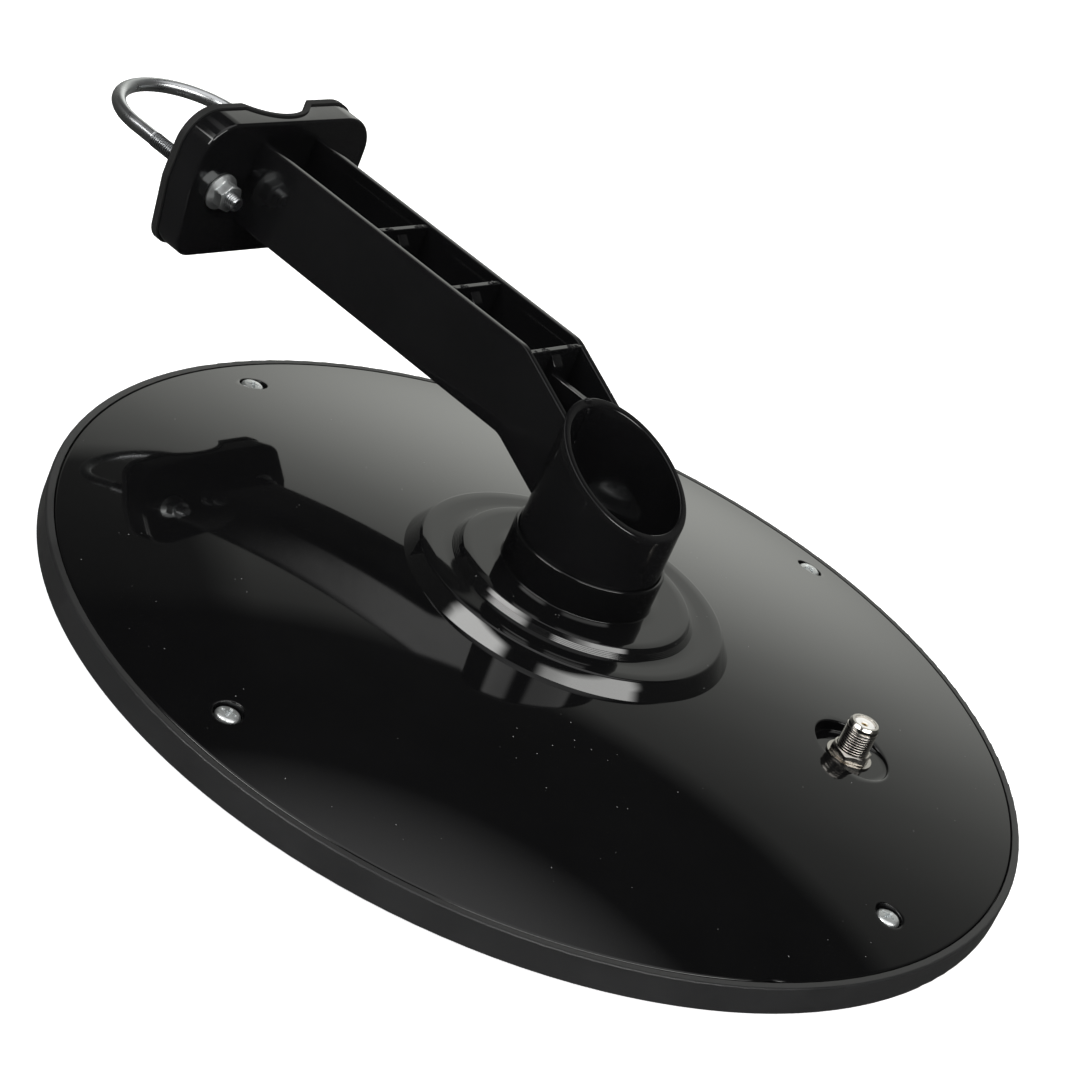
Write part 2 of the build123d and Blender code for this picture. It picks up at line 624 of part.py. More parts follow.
# ---------------------------------------------------------------- export
save("front_radome", front_radome())
save("back_cover", back_cover())
save("rim_gasket", rim_gasket())
save_group("cover_screws", cover_screws())
save("connector_body", connector_body())
save("connector_insulator", connector_insulator())
save("connector_contact", connector_contact())
save("connector_washer", connector_washer())
save("connector_nut", connector_nut())
for i in range(4):
    save("dipole_arm_" + str(i + 1), dipole_arm(i))
save("phasing_board", phasing_board())
save("amplifier_board", amplifier_board())
save("shield_can", shield_can())
save_group("board_components", board_components())
save("balun_core", balun_core())
save("inner_coax", inner_coax())
save_group("element_screws", element_screws())
save_group("board_screws", board_screws())
save("mast_arm", mast_arm())
save("mast_pad", mast_pad())
save("u_bolt", u_bolt())
save("flange_nut_left", flange_nut(-1))
save("flange_nut_right", flange_nut(1))
save("pivot_screw", pivot_screw())
save("pivot_washer", pivot_washer())
save("pivot_nut", pivot_nut())
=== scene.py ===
import math

import bmesh
import bpy
import numpy as np
from mathutils import Matrix, Vector


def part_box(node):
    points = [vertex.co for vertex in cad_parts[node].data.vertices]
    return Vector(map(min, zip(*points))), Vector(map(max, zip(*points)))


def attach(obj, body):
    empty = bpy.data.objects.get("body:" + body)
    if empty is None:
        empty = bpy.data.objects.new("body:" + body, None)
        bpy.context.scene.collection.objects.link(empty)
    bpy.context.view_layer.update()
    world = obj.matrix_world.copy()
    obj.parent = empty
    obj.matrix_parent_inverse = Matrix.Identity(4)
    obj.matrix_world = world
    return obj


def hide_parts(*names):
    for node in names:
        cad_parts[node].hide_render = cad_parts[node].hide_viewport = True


# Disc television antenna: a closed black housing, its swivelling mast arm and the zinc mast clamp.
# Lengths in this file are millimetres until a piece is put into the scene, which is in metres.
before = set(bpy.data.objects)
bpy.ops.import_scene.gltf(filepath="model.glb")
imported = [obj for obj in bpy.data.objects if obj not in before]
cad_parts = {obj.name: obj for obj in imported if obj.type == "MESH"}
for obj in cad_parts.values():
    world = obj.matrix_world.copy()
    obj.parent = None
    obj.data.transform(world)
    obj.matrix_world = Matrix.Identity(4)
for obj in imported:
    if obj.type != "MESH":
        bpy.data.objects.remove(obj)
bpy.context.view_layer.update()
MM = 0.001
TURN = 2 * np.pi

# ---------------------------------------------------------------- sizes of the housing
COVER_R = 147.2        # outer radius of the glossy back cover
LIP_Z = 9.0            # height of the rim lip
SKIRT_Z = 6.2          # foot of the cover's skirt
WALL = 2.2             # wall of the cover
DOME_RISE = 18.1       # from the lip to the top of the sphere that the cover is cut from
SPHERE_R = (COVER_R ** 2 + DOME_RISE ** 2) / (2 * DOME_RISE)
DOME_TOP = LIP_Z + DOME_RISE
BOSS_FOOT_R = 49.9
BEVEL_R, BEVEL_Z = 46.45, 29.7
STEP_FOOT_R, STEP_R, FLOOR_Z = 37.0, 34.8, 32.3
SOCKET_R, SOCKET_BORE, SOCKET_Z = 23.01, 21.66, 42.9
POST_R, POST_Z, PIVOT_HOLE_R = 7.0, 37.9, 3.25
SCREW_CIRCLE, SCREW_POCKET_R, SCREW_SEAT, SCREW_HOLE_R = 132.6, 4.2, 8.9, 1.75
POCKET_WALL, POCKET_FOOT = 1.7, 0.3
NOTCH_ANGLE, NOTCH_HALF, NOTCH_DEPTH = -112.6, 0.75, 0.8
FEED_RADIUS, FEED_ANGLE = 92.3, -61.2
FEED_X = FEED_RADIUS * math.cos(math.radians(FEED_ANGLE))
FEED_Y = FEED_RADIUS * math.sin(math.radians(FEED_ANGLE))
RECESS_R, RECESS_Z, RECESS_HOLE_R = 12.1, 17.7, 5.01
FEED_TIP = RECESS_Z + 12.1
FEED_THREAD_R, FEED_PITCH, FEED_BORE, FEED_FOOT = 4.7625, 25.4 / 32, 3.22, 10.0

# ---------------------------------------------------------------- sizes of the arm and clamp
TUBE_R, TUBE_BORE, TUBE_LIP = 21.6, 19.2, 0.5
MOUTH_Z, MOUTH_SLOPE = 69.3, math.tan(math.radians(25))
WEB_LOW, WEB_HIGH = 38.2, 40.6
ARM_BOTTOM, ARM_TOP, ARM_HALF, ARM_WALL = 59.5, 86.7, 13.0, 2.2
ARM_ROOT_R = 20.4      # the arm and the web start at this radius, inside the tube's wall
BEND_BOTTOM_Y, BEND_TOP_Y, ARM_FALL = 36.0, 39.0, math.tan(math.radians(24.5))
RIB_SHARES, RIB_TOP, POST_TOP, KEEL_TOP = (0.245, 0.466, 0.673), 86.1, 85.1, 79.1
PLATE_Y, PLATE_BACK, PAD_BACK, PLATE_Z = 153.0, 162.0, 164.6, 70.2
PLATE_HALF_WIDTH, PLATE_HALF_HEIGHT = 36.4, 22.5
MAST_Y, PLATE_GROOVE_R, PAD_GROOVE_R = 174.4, 18.6, 17.0
LEG_X, LEG_TIP, BOW_Y = 23.0, 144.8, 192.4
SHANK_R, THREAD_R, THREAD_PITCH = 2.25, 2.42, 0.8


# ---------------------------------------------------------------- surfaces
def grid_quads(rows, cols, close_rows=False, close_cols=True):
    """Quads between neighbours of a rows by cols grid of points, joined end to end where it is closed."""
    i, j = np.meshgrid(np.arange(rows if close_rows else rows - 1),
                       np.arange(cols if close_cols else cols - 1), indexing="ij")
    i2, j2 = (i + 1) % rows, (j + 1) % cols
    return np.stack([i * cols + j, i2 * cols + j, i2 * cols + j2, i * cols + j2], -1).reshape(-1, 4)


def patch(points, close_rows=False, close_cols=True):
    """A rows by cols by 3 array of points as (points, quads)."""
    rows, cols = points.shape[:2]
    return points.reshape(-1, 3), grid_quads(rows, cols, close_rows, close_cols)


def rounded(corners, step=0.6, arc=9.0):
    """Profile through (x, y, radius) corners: each corner becomes a circular arc that touches both its
    sides at radius times tan(half the turn), sampled about every arc degrees, and each straight side is
    cut into pieces of at most 12 times step."""
    pts = np.array([c[:2] for c in corners], float)
    out = [pts[:1]]
    for k in range(1, len(pts) - 1):
        a, b, c = pts[k - 1], pts[k], pts[k + 1]
        u, v = (a - b) / np.linalg.norm(a - b), (c - b) / np.linalg.norm(c - b)
        half = math.acos(max(-1.0, min(1.0, float(u @ v)))) / 2
        radius = corners[k][2]
        if radius <= 0 or half > 1.56:
            out.append(pts[k:k + 1])
            continue
        reach = radius / math.tan(half)
        centre = b + (u + v) / np.linalg.norm(u + v) * radius / math.sin(half)
        p, q = b + u * reach - centre, b + v * reach - centre
        sweep = np.pi - 2 * half
        t = np.linspace(0, 1, max(3, int(math.degrees(sweep) / arc) + 2))[:, None]
        out.append(centre + (np.sin((1 - t) * sweep) * p + np.sin(t * sweep) * q) / math.sin(sweep))
    out.append(pts[-1:])
    line = np.concatenate(out)
    most = 12 * step
    parts = [line[:1]]
    for a, b in zip(line[:-1], line[1:]):
        n = max(1, math.ceil(np.linalg.norm(b - a) / most))
        parts.append(a + (b - a) * (np.arange(1, n + 1) / n)[:, None])
    return np.concatenate(parts)


def turned(profile, sides, centre=(0.0, 0.0), closed=False, shape=None):
    """Surface of revolution: point (r, z) of the profile is carried round the vertical axis as
    (r cos a, r sin a, z). shape(r, z, a) may give other radii and heights for each angle."""
    a = np.arange(sides) / sides * TURN
    r = np.repeat(profile[:, :1], sides, 1)
    z = np.repeat(profile[:, 1:2], sides, 1)
    if shape:
        r, z = shape(r, z, a[None, :])
    points = np.stack([centre[0] + r * np.cos(a), centre[1] + r * np.sin(a), z], -1)
    return patch(points, close_rows=closed)


def laid_along_y(part, x, y, z, reverse=False):
    """A part made about the vertical axis, turned so that its height runs along +Y, or along -Y."""
    p, f = part
    s = -1.0 if reverse else 1.0
    return np.stack([x + p[:, 0], y + s * p[:, 2], z - s * p[:, 1]], -1), f


def make_piece(name, parts, material, body, nodes, crease):
    """One mesh object from (points, quads) parts: doubles are merged, flat quads at poles collapse,
    normals are turned outwards and edges that bend by more than the crease angle stay sharp."""
    points, quads, offset = [], [], 0
    for p, f in parts:
        points.append(p)
        quads.append(f + offset)
        offset += len(p)
    mesh = bpy.data.meshes.new(name)
    mesh.from_pydata(np.concatenate(points) * MM, [], np.concatenate(quads))
    bm = bmesh.new()
    bm.from_mesh(mesh)
    bmesh.ops.remove_doubles(bm, verts=bm.verts, dist=2e-6)
    bmesh.ops.dissolve_degenerate(bm, edges=bm.edges, dist=1e-6)
    bmesh.ops.recalc_face_normals(bm, faces=bm.faces)
    bm.to_mesh(mesh)
    bm.free()
    mesh.polygons.foreach_set("use_smooth", np.ones(len(mesh.polygons), bool))
    mesh.set_sharp_from_angle(angle=math.radians(crease))
    mesh.materials.append(material)
    piece = bpy.data.objects.new(name, mesh)
    bpy.context.scene.collection.objects.link(piece)
    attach(piece, body)
    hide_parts(*nodes)


# ---------------------------------------------------------------- finishes
def material_tools(name):
    """A new material, its node tree, its shader and the Object coordinates that its patterns read."""
    m = bpy.data.materials.new(name)
    m.use_nodes = True
    tree = m.node_tree
    tree.nodes.clear()
    out = tree.nodes.new("ShaderNodeOutputMaterial")
    shader = tree.nodes.new("ShaderNodeBsdfPrincipled")
    tree.links.new(shader.outputs["BSDF"], out.inputs["Surface"])
    place = tree.nodes.new("ShaderNodeTexCoord")
    return m, tree, shader, place.outputs["Object"]


def noise(tree, where, scale, detail=3.0, rough=0.55, stretch=None):
    """Noise of the given scale per metre on Object coordinates, stretched along an axis if asked."""
    if stretch:
        mapping = tree.nodes.new("ShaderNodeMapping")
        mapping.inputs["Scale"].default_value = stretch
        tree.links.new(where, mapping.inputs["Vector"])
        where = mapping.outputs["Vector"]
    n = tree.nodes.new("ShaderNodeTexNoise")
    n.inputs["Scale"].default_value = scale
    n.inputs["Detail"].default_value = detail
    n.inputs["Roughness"].default_value = rough
    tree.links.new(where, n.inputs["Vector"])
    return n.outputs["Fac"]


def spread(tree, value, low, high, from_low=0.3, from_high=0.7):
    """Map a texture's value to a range, held at its ends."""
    r = tree.nodes.new("ShaderNodeMapRange")
    r.inputs["From Min"].default_value = from_low
    r.inputs["From Max"].default_value = from_high
    r.inputs["To Min"].default_value = low
    r.inputs["To Max"].default_value = high
    tree.links.new(value, r.inputs["Value"])
    return r.outputs["Result"]


def blend_colour(tree, share, a, b):
    """From colour a to colour b as share goes from nought to one. Each is fixed or another node's."""
    mix = tree.nodes.new("ShaderNodeMix")
    mix.data_type = "RGBA"
    tree.links.new(share, mix.inputs["Factor"])
    for end, colour in (("A", a), ("B", b)):
        if isinstance(colour, tuple):
            mix.inputs[end].default_value = (*colour, 1)
        else:
            tree.links.new(colour, mix.inputs[end])
    return mix.outputs["Result"]


def shaded(colour, share):
    """A colour made darker or lighter by a share."""
    return tuple(c * share for c in colour)


def maths(tree, operation, a, b):
    """One operation on two other nodes' values."""
    node = tree.nodes.new("ShaderNodeMath")
    node.operation = operation
    tree.links.new(a, node.inputs[0])
    tree.links.new(b, node.inputs[1])
    return node.outputs["Value"]


def vector_maths(tree, operation, vector, fixed=None):
    """One operation on another node's vector and, where it takes two, a fixed one."""
    node = tree.nodes.new("ShaderNodeVectorMath")
    node.operation = operation
    tree.links.new(vector, node.inputs[0])
    if fixed is not None:
        node.inputs[1].default_value = fixed
    return node.outputs["Value" if operation in ("LENGTH", "DOT_PRODUCT") else "Vector"]


def bump(tree, shader, height, strength, distance):
    """Relief of the shader's surface by a texture's height, at most distance metres."""
    b = tree.nodes.new("ShaderNodeBump")
    b.inputs["Strength"].default_value = strength
    b.inputs["Distance"].default_value = distance
    tree.links.new(height, b.inputs["Height"])
    tree.links.new(b.outputs["Normal"], shader.inputs["Normal"])


def specks(tree, where, scale, size, share):
    """Sparse dots: 1 inside a cell's centre where a coarse noise is high, otherwise 0."""
    v = tree.nodes.new("ShaderNodeTexVoronoi")
    v.inputs["Scale"].default_value = scale
    tree.links.new(where, v.inputs["Vector"])
    dot = spread(tree, v.outputs["Distance"], 1.0, 0.0, size * 0.6, size)
    patchy = spread(tree, noise(tree, where, scale * 0.21, 1.0), 0.0, 1.0, share, share + 0.04)
    return maths(tree, "MULTIPLY", dot, patchy)


def gloss_plastic(name, colour, rough, dust, wave=0.00002, dust_colour=(0.30, 0.30, 0.30)):
    """Mirror-gloss moulded plastic: a faint long wave in the skin, wiped areas and specks of dust."""
    m, tree, shader, where = material_tools(name)
    shader.inputs["IOR"].default_value = 1.52
    film = noise(tree, where, 38.0, 4.0, 0.6)
    rub = noise(tree, where, 420.0, 5.0, 0.7, (1.0, 0.35, 1.0))
    base = blend_colour(tree, film, colour, shaded(colour, 1.7))
    spots = specks(tree, where, 300.0, 0.055, dust)
    tree.links.new(blend_colour(tree, spots, base, dust_colour), shader.inputs["Base Color"])
    roughness = maths(tree, "ADD", spread(tree, rub, rough * 0.7, rough * 1.5), spots)
    roughness.node.use_clamp = True
    tree.links.new(roughness, shader.inputs["Roughness"])
    bump(tree, shader, noise(tree, where, 24.0, 2.0, 0.4), 0.5, wave)
    return m


def moulded_plastic(name, colour, low, high, grain, depth, ior=1.5):
    """Satin moulded plastic: fine grain in the bump and cloudy differences in gloss and colour."""
    m, tree, shader, where = material_tools(name)
    shader.inputs["IOR"].default_value = ior
    cloud = noise(tree, where, 55.0, 4.0, 0.6)
    tree.links.new(blend_colour(tree, cloud, shaded(colour, 0.75), shaded(colour, 1.35)),
                   shader.inputs["Base Color"])
    tree.links.new(spread(tree, cloud, low, high), shader.inputs["Roughness"])
    bump(tree, shader, noise(tree, where, grain, 3.0, 0.6), 0.6, depth)
    return m


def painted_valley_shade(tree, where, axis, across, valley, crest, start, end):
    """Painted shade for a thread: nought in its valley, which the colour darkens as shade, and one on its
    crest, from the distance to the nearer of two axes that mirror each other. Everything before the thread's
    start or past its end counts as crest."""
    mirrored = vector_maths(tree, "ABSOLUTE", where)
    offset = vector_maths(tree, "SUBTRACT", mirrored, tuple(abs(c) * MM for c in axis))
    distance = vector_maths(tree, "LENGTH", vector_maths(tree, "MULTIPLY", offset, across))
    share = spread(tree, distance, 0.0, 1.0, valley * MM, crest * MM)
    split = tree.nodes.new("ShaderNodeSeparateXYZ")
    tree.links.new(where, split.inputs["Vector"])
    along = split.outputs["Y" if across[1] == 0 else "Z"]
    fade = 0.2
    before = spread(tree, along, 1.0, 0.0, start * MM, (start + fade) * MM)
    past = spread(tree, along, 0.0, 1.0, (end - fade) * MM, end * MM)
    return maths(tree, "MAXIMUM", share, maths(tree, "MAXIMUM", before, past))


def plated_metal(name, colour, low, high, grain, depth, stretch=None, thread=None):
    """Plated metal: cloudy passivation in the colour, fine marks, and painted shade in the valleys of its
    thread.
    """
    m, tree, shader, where = material_tools(name)
    shader.inputs["Metallic"].default_value = 1.0
    cloud = noise(tree, where, 260.0, 4.0, 0.6)
    marks = noise(tree, where, grain, 4.0, 0.65, stretch)
    colours = blend_colour(tree, cloud, shaded(colour, 0.82), colour)
    if thread:
        # Painted shade: the thread's valleys are darkened to near black in the base colour.
        colours = blend_colour(tree, painted_valley_shade(tree, where, *thread), (0.03, 0.03, 0.03), colours)
    tree.links.new(colours, shader.inputs["Base Color"])
    tree.links.new(spread(tree, marks, low, high), shader.inputs["Roughness"])
    bump(tree, shader, marks, 0.5, depth)
    return m


def circuit_board(name):
    """Green solder mask over a faint copper hatch, with a glass weave in the bump."""
    m, tree, shader, where = material_tools(name)
    w = tree.nodes.new("ShaderNodeTexWave")
    w.wave_type = "BANDS"
    w.bands_direction = "DIAGONAL"
    w.inputs["Scale"].default_value = 160.0
    w.inputs["Distortion"].default_value = 1.5
    tree.links.new(where, w.inputs["Vector"])
    tracks = spread(tree, w.outputs["Fac"], 0.0, 1.0, 0.55, 0.6)
    tree.links.new(blend_colour(tree, tracks, (0.012, 0.075, 0.028), (0.03, 0.15, 0.05)),
                   shader.inputs["Base Color"])
    tree.links.new(spread(tree, noise(tree, where, 900.0), 0.28, 0.5), shader.inputs["Roughness"])
    bump(tree, shader, tracks, 0.5, 0.00004)
    return m


cover_gloss = gloss_plastic("cover_gloss_black", (0.0030, 0.0030, 0.0032), 0.035, 0.56)
rim_satin = moulded_plastic("rim_satin_black", (0.0165, 0.0165, 0.0172), 0.28, 0.40, 2600.0, 0.000008)
arm_semi = moulded_plastic("arm_semigloss_black", (0.0052, 0.0052, 0.0056), 0.05, 0.14, 90.0, 0.00003)
pad_rubber = moulded_plastic("pad_matt_rubber", (0.009, 0.009, 0.009), 0.62, 0.82, 1900.0, 0.00005)
# thread= gives where painted shade darkens the valleys of the U-bolt legs' thread.
zinc = plated_metal("bright_zinc", (0.72, 0.735, 0.755), 0.24, 0.33, 160.0, 0.000001,
                    thread=((LEG_X, 0.0, PLATE_Z), (1, 0, 1), 2.0, 2.16, LEG_TIP + 0.5, BOW_Y - 8))
zinc_pale = plated_metal("pale_zinc", (0.90, 0.925, 0.93), 0.34, 0.48, 420.0, 0.000002)
# thread= gives where painted shade darkens the valleys of the socket's thread.
nickel = plated_metal("warm_nickel", (0.74, 0.705, 0.66), 0.14, 0.22, 900.0, 0.0000003,
                      thread=((FEED_X, FEED_Y, 0.0), (1, 1, 0), 4.36, 4.62, RECESS_Z, FEED_TIP - 2.1))
nickel_plain = plated_metal("plain_nickel", (0.70, 0.665, 0.62), 0.16, 0.24, 900.0, 0.0000003)
dielectric = moulded_plastic("white_dielectric_face", (0.80, 0.79, 0.76), 0.35, 0.55, 1500.0, 0.00002)
brass = plated_metal("contact_brass_skin", (0.72, 0.52, 0.24), 0.18, 0.32, 2500.0, 0.000006)
aluminium = plated_metal("rolled_aluminium", (0.80, 0.80, 0.81), 0.22, 0.38, 700.0, 0.00001,
                         stretch=(1.0, 14.0, 1.0))
tin = plated_metal("tinned_steel_skin", (0.68, 0.68, 0.66), 0.25, 0.45, 900.0, 0.00001)
board_green = circuit_board("board_solder_mask")
chip_black = moulded_plastic("component_epoxy", (0.02, 0.02, 0.02), 0.45, 0.6, 2500.0, 0.00002)
ferrite_grey = moulded_plastic("ferrite_grain", (0.05, 0.05, 0.055), 0.5, 0.7, 2500.0, 0.00004)
jacket = moulded_plastic("coax_jacket_skin", (0.02, 0.02, 0.02), 0.4, 0.5, 1600.0, 0.00002)

kept_nodes = {
    "front_radome": rim_satin, "rim_gasket": pad_rubber, "connector_washer": nickel_plain,
    "connector_contact": brass, "dipole_arm_1": aluminium, "dipole_arm_2": aluminium,
    "dipole_arm_3": aluminium, "dipole_arm_4": aluminium, "phasing_board": board_green,
    "amplifier_board": board_green, "shield_can": tin, "board_components": chip_black,
    "balun_core": ferrite_grey, "inner_coax": jacket, "element_screws": zinc_pale, "board_screws": zinc_pale,
    "pivot_washer": zinc_pale, "pivot_nut": zinc_pale}
for node, finish in kept_nodes.items():
    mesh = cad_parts[node].data
    mesh.materials.clear()
    mesh.materials.append(finish)


# ---------------------------------------------------------------- back cover
def dome_height(r, sink=0.0):
    """Height of the spherical cap at radius r, or of a parallel cap that lies sink below it."""
    return DOME_TOP - SPHERE_R + np.sqrt((SPHERE_R - sink) ** 2 - r ** 2)


# The dome's grid: columns round the axis, and rings that stand closer between the radii that frame
# the socket's recess and the screws' pockets.
COLUMNS = 300
RECESS_INNER, RECESS_OUTER, POCKET_INNER, POCKET_OUTER, DOME_OUTER = 75, 110, 123, 142, 145
RINGS = np.concatenate([np.linspace(BOSS_FOOT_R, RECESS_INNER, 10)[:-1],
                        np.linspace(RECESS_INNER, RECESS_OUTER, 19)[:-1],
                        np.linspace(RECESS_OUTER, POCKET_INNER, 5)[:-1],
                        np.linspace(POCKET_INNER, POCKET_OUTER, 12)[:-1],
                        np.linspace(POCKET_OUTER, DOME_OUTER, 3)])
SCREW_COLUMNS, RECESS_COLUMNS = 6, 16      # half the columns that a hole's block takes
STEP_RING_COUNT, STEP_RING_SLOPE = 4, 0.62
FACE_SCREW = np.array([[SCREW_CIRCLE * math.cos(k * np.pi / 2), SCREW_CIRCLE * math.sin(k * np.pi / 2)]
                       for k in range(4)])


def ring_index(radius):
    """Row of the dome's grid that stands at a radius."""
    return int(np.argmin(np.abs(RINGS - radius)))


def hole_windows():
    """Each hole in the dome: its centre, wall radius, edge rounding, floor height, bore radius and the
    block of the dome's grid that its patch stands in."""
    found = []
    for k in range(4):
        mid = k * COLUMNS // 4
        found.append((FACE_SCREW[k], SCREW_POCKET_R, 0.35, SCREW_SEAT, SCREW_HOLE_R, mid - SCREW_COLUMNS,
                      mid + SCREW_COLUMNS, ring_index(POCKET_INNER), ring_index(POCKET_OUTER)))
    mid = round((FEED_ANGLE % 360) / 360 * COLUMNS)
    found.append((np.array([FEED_X, FEED_Y]), RECESS_R, 0.5, RECESS_Z, RECESS_HOLE_R,
                  mid - RECESS_COLUMNS, mid + RECESS_COLUMNS, ring_index(RECESS_INNER),
                  ring_index(RECESS_OUTER)))
    return found


def dome_skin(sink, thicken):
    """The dome as a polar grid of heights, with a block left out round each hole. A hole's patch runs in
    straight lines from the block's outline to the circle, keeping the dome's height, and then follows
    the edge's quarter round, the wall and the floor. Returns the parts and each patch's last ring."""
    a = np.arange(COLUMNS) / COLUMNS * TURN
    x, y = RINGS[:, None] * np.cos(a), RINGS[:, None] * np.sin(a)
    z = np.repeat(dome_height(RINGS, sink)[:, None], COLUMNS, 1)
    quads = grid_quads(len(RINGS), COLUMNS)
    row, col = np.divmod(np.arange(len(quads)), COLUMNS)
    keep = np.ones(len(quads), bool)
    windows = hole_windows()
    for *_, c0, c1, r0, r1 in windows:
        keep &= ~(((col - c0) % COLUMNS < c1 - c0) & (row >= r0) & (row < r1))
    parts = [(np.stack([x, y, z], -1).reshape(-1, 3), quads[keep])]
    ends = []
    for centre, radius, edge, floor, bore, c0, c1, r0, r1 in windows:
        cols, rows = np.arange(c0, c1 + 1) % COLUMNS, np.arange(r0, r1 + 1)
        ci = np.concatenate([cols[:-1], np.full(len(rows) - 1, cols[-1]), cols[::-1][:-1],
                             np.full(len(rows) - 1, cols[0])])
        ri = np.concatenate([np.full(len(cols) - 1, r0), rows[:-1], np.full(len(cols) - 1, r1),
                             rows[::-1][:-1]])
        outline = np.stack([x[ri, ci], y[ri, ci]], -1)
        away = outline - centre
        away /= np.linalg.norm(away, axis=1, keepdims=True)
        rim_r = radius + thicken + edge
        circle = centre + away * rim_r
        t = np.linspace(0, 1, 9)[:, None, None] ** 0.8
        flat = outline[None] * (1 - t) + circle[None] * t
        height = dome_height(np.linalg.norm(flat, axis=-1), sink)
        turn = np.linspace(0, np.pi / 2, 7)[1:, None]
        rim_z = height[-1][None]
        radii = rim_r - edge * np.sin(turn) + 0 * rim_z
        drop = rim_z - edge * (1 - np.cos(turn))
        base = floor - sink
        low = np.minimum(drop[-1:], base + POCKET_FOOT)
        wall_t = np.array([0.34, 0.67, 1.0])[:, None]
        wall_z = drop[-1:] * (1 - wall_t) + low * wall_t
        wall_r = np.full_like(wall_z, radius + thicken)
        curl = np.linspace(0, np.pi / 2, 5)[1:, None]
        foot_r = radius + thicken - POCKET_FOOT * (1 - np.cos(curl)) + 0 * rim_z
        foot_z = base + POCKET_FOOT * (1 - np.sin(curl)) + 0 * rim_z
        floor_r = np.linspace(radius + thicken - POCKET_FOOT, bore, 6)[1:, None] + 0 * rim_z
        floor_z = np.full_like(floor_r, base)
        rr = np.concatenate([radii, wall_r, foot_r, floor_r])
        zz = np.concatenate([drop, wall_z, foot_z, floor_z])
        sunk = np.concatenate([np.concatenate([flat, height[..., None]], -1),
                               np.concatenate([centre + away[None] * rr[..., None], zz[..., None]], -1)])
        parts.append(patch(sunk))
        ends.append(sunk[-1])
    return parts, ends


def step_rings():
    """Turned rings on the lower half of the step. Each flank runs in by the slope times its rise and ends
    in a short tread, so the flanks share one slope."""
    rise = 0.5 * (FLOOR_Z - BEVEL_Z) / STEP_RING_COUNT
    run = STEP_RING_SLOPE * rise
    tread = 0.6 * (STEP_FOOT_R - STEP_R) / STEP_RING_COUNT - run
    k = np.arange(STEP_RING_COUNT)
    top = np.stack([STEP_FOOT_R - k * (run + tread) - run, BEVEL_Z + (k + 1) * rise], -1)
    pairs = np.stack([top, top - [tread, 0]], 1).reshape(-1, 2)
    return [(r, z, 0.05) for r, z in pairs]


def cover_parts():
    """Outer and inner skins joined through every bore, the rounded edge and skirt, and the boss, step,
    socket and pivot post as one turned profile."""
    outer, outer_ends = dome_skin(0.0, 0.0)
    inner, inner_ends = dome_skin(WALL, POCKET_WALL)
    parts = outer + inner
    parts += [patch(np.stack([a, b])) for a, b in zip(outer_ends, inner_ends)]
    boss = rounded([(BOSS_FOOT_R, dome_height(BOSS_FOOT_R), 0), (BEVEL_R, BEVEL_Z, 1.1),
                    (STEP_FOOT_R, BEVEL_Z, 0.12), *step_rings(), (STEP_R, FLOOR_Z, 0.5),
                    (SOCKET_R, FLOOR_Z, 0.4), (SOCKET_R, SOCKET_Z, 0.62), (SOCKET_BORE, SOCKET_Z, 0.5),
                    (SOCKET_BORE, FLOOR_Z, 0.3), (POST_R, FLOOR_Z, 0.4), (POST_R, POST_Z, 0.5),
                    (PIVOT_HOLE_R, POST_Z, 0.2), (PIVOT_HOLE_R, FLOOR_Z - WALL, 0),
                    (STEP_R - WALL, FLOOR_Z - WALL, 0.4),
                    (STEP_R - WALL, BEVEL_Z - WALL, 0.3), (BEVEL_R - WALL, BEVEL_Z - WALL, 0.4),
                    (BOSS_FOOT_R, dome_height(BOSS_FOOT_R, WALL), 0)], 0.25, 14.0)
    parts.append(turned(boss, COLUMNS))
    fall = np.linspace(RINGS[-1], COVER_R - 0.75, 4)
    edge = [(r, dome_height(r), 0) for r in fall]
    edge += [(COVER_R, dome_height(COVER_R), 0.7), (COVER_R, SKIRT_Z, 0.25), (RINGS[-1], SKIRT_Z, 0),
             (RINGS[-1], dome_height(RINGS[-1], WALL), 0)]

    def notched(r, z, a):
        """The edge less a small square dent at the notch's angle, above the skirt."""
        near = np.abs((a - math.radians(NOTCH_ANGLE) + np.pi) % TURN - np.pi)
        dent = np.clip(1.45 - near / math.radians(NOTCH_HALF), 0, 1)
        return r - NOTCH_DEPTH * dent * (r > COVER_R - 1.0) * (z > LIP_Z - 1.4), z

    parts.append(turned(rounded(edge, 0.08, 14.0), COLUMNS, shape=notched))
    return parts


make_piece("cover_dome", cover_parts(), cover_gloss, "disc", ["back_cover"], crease=28)


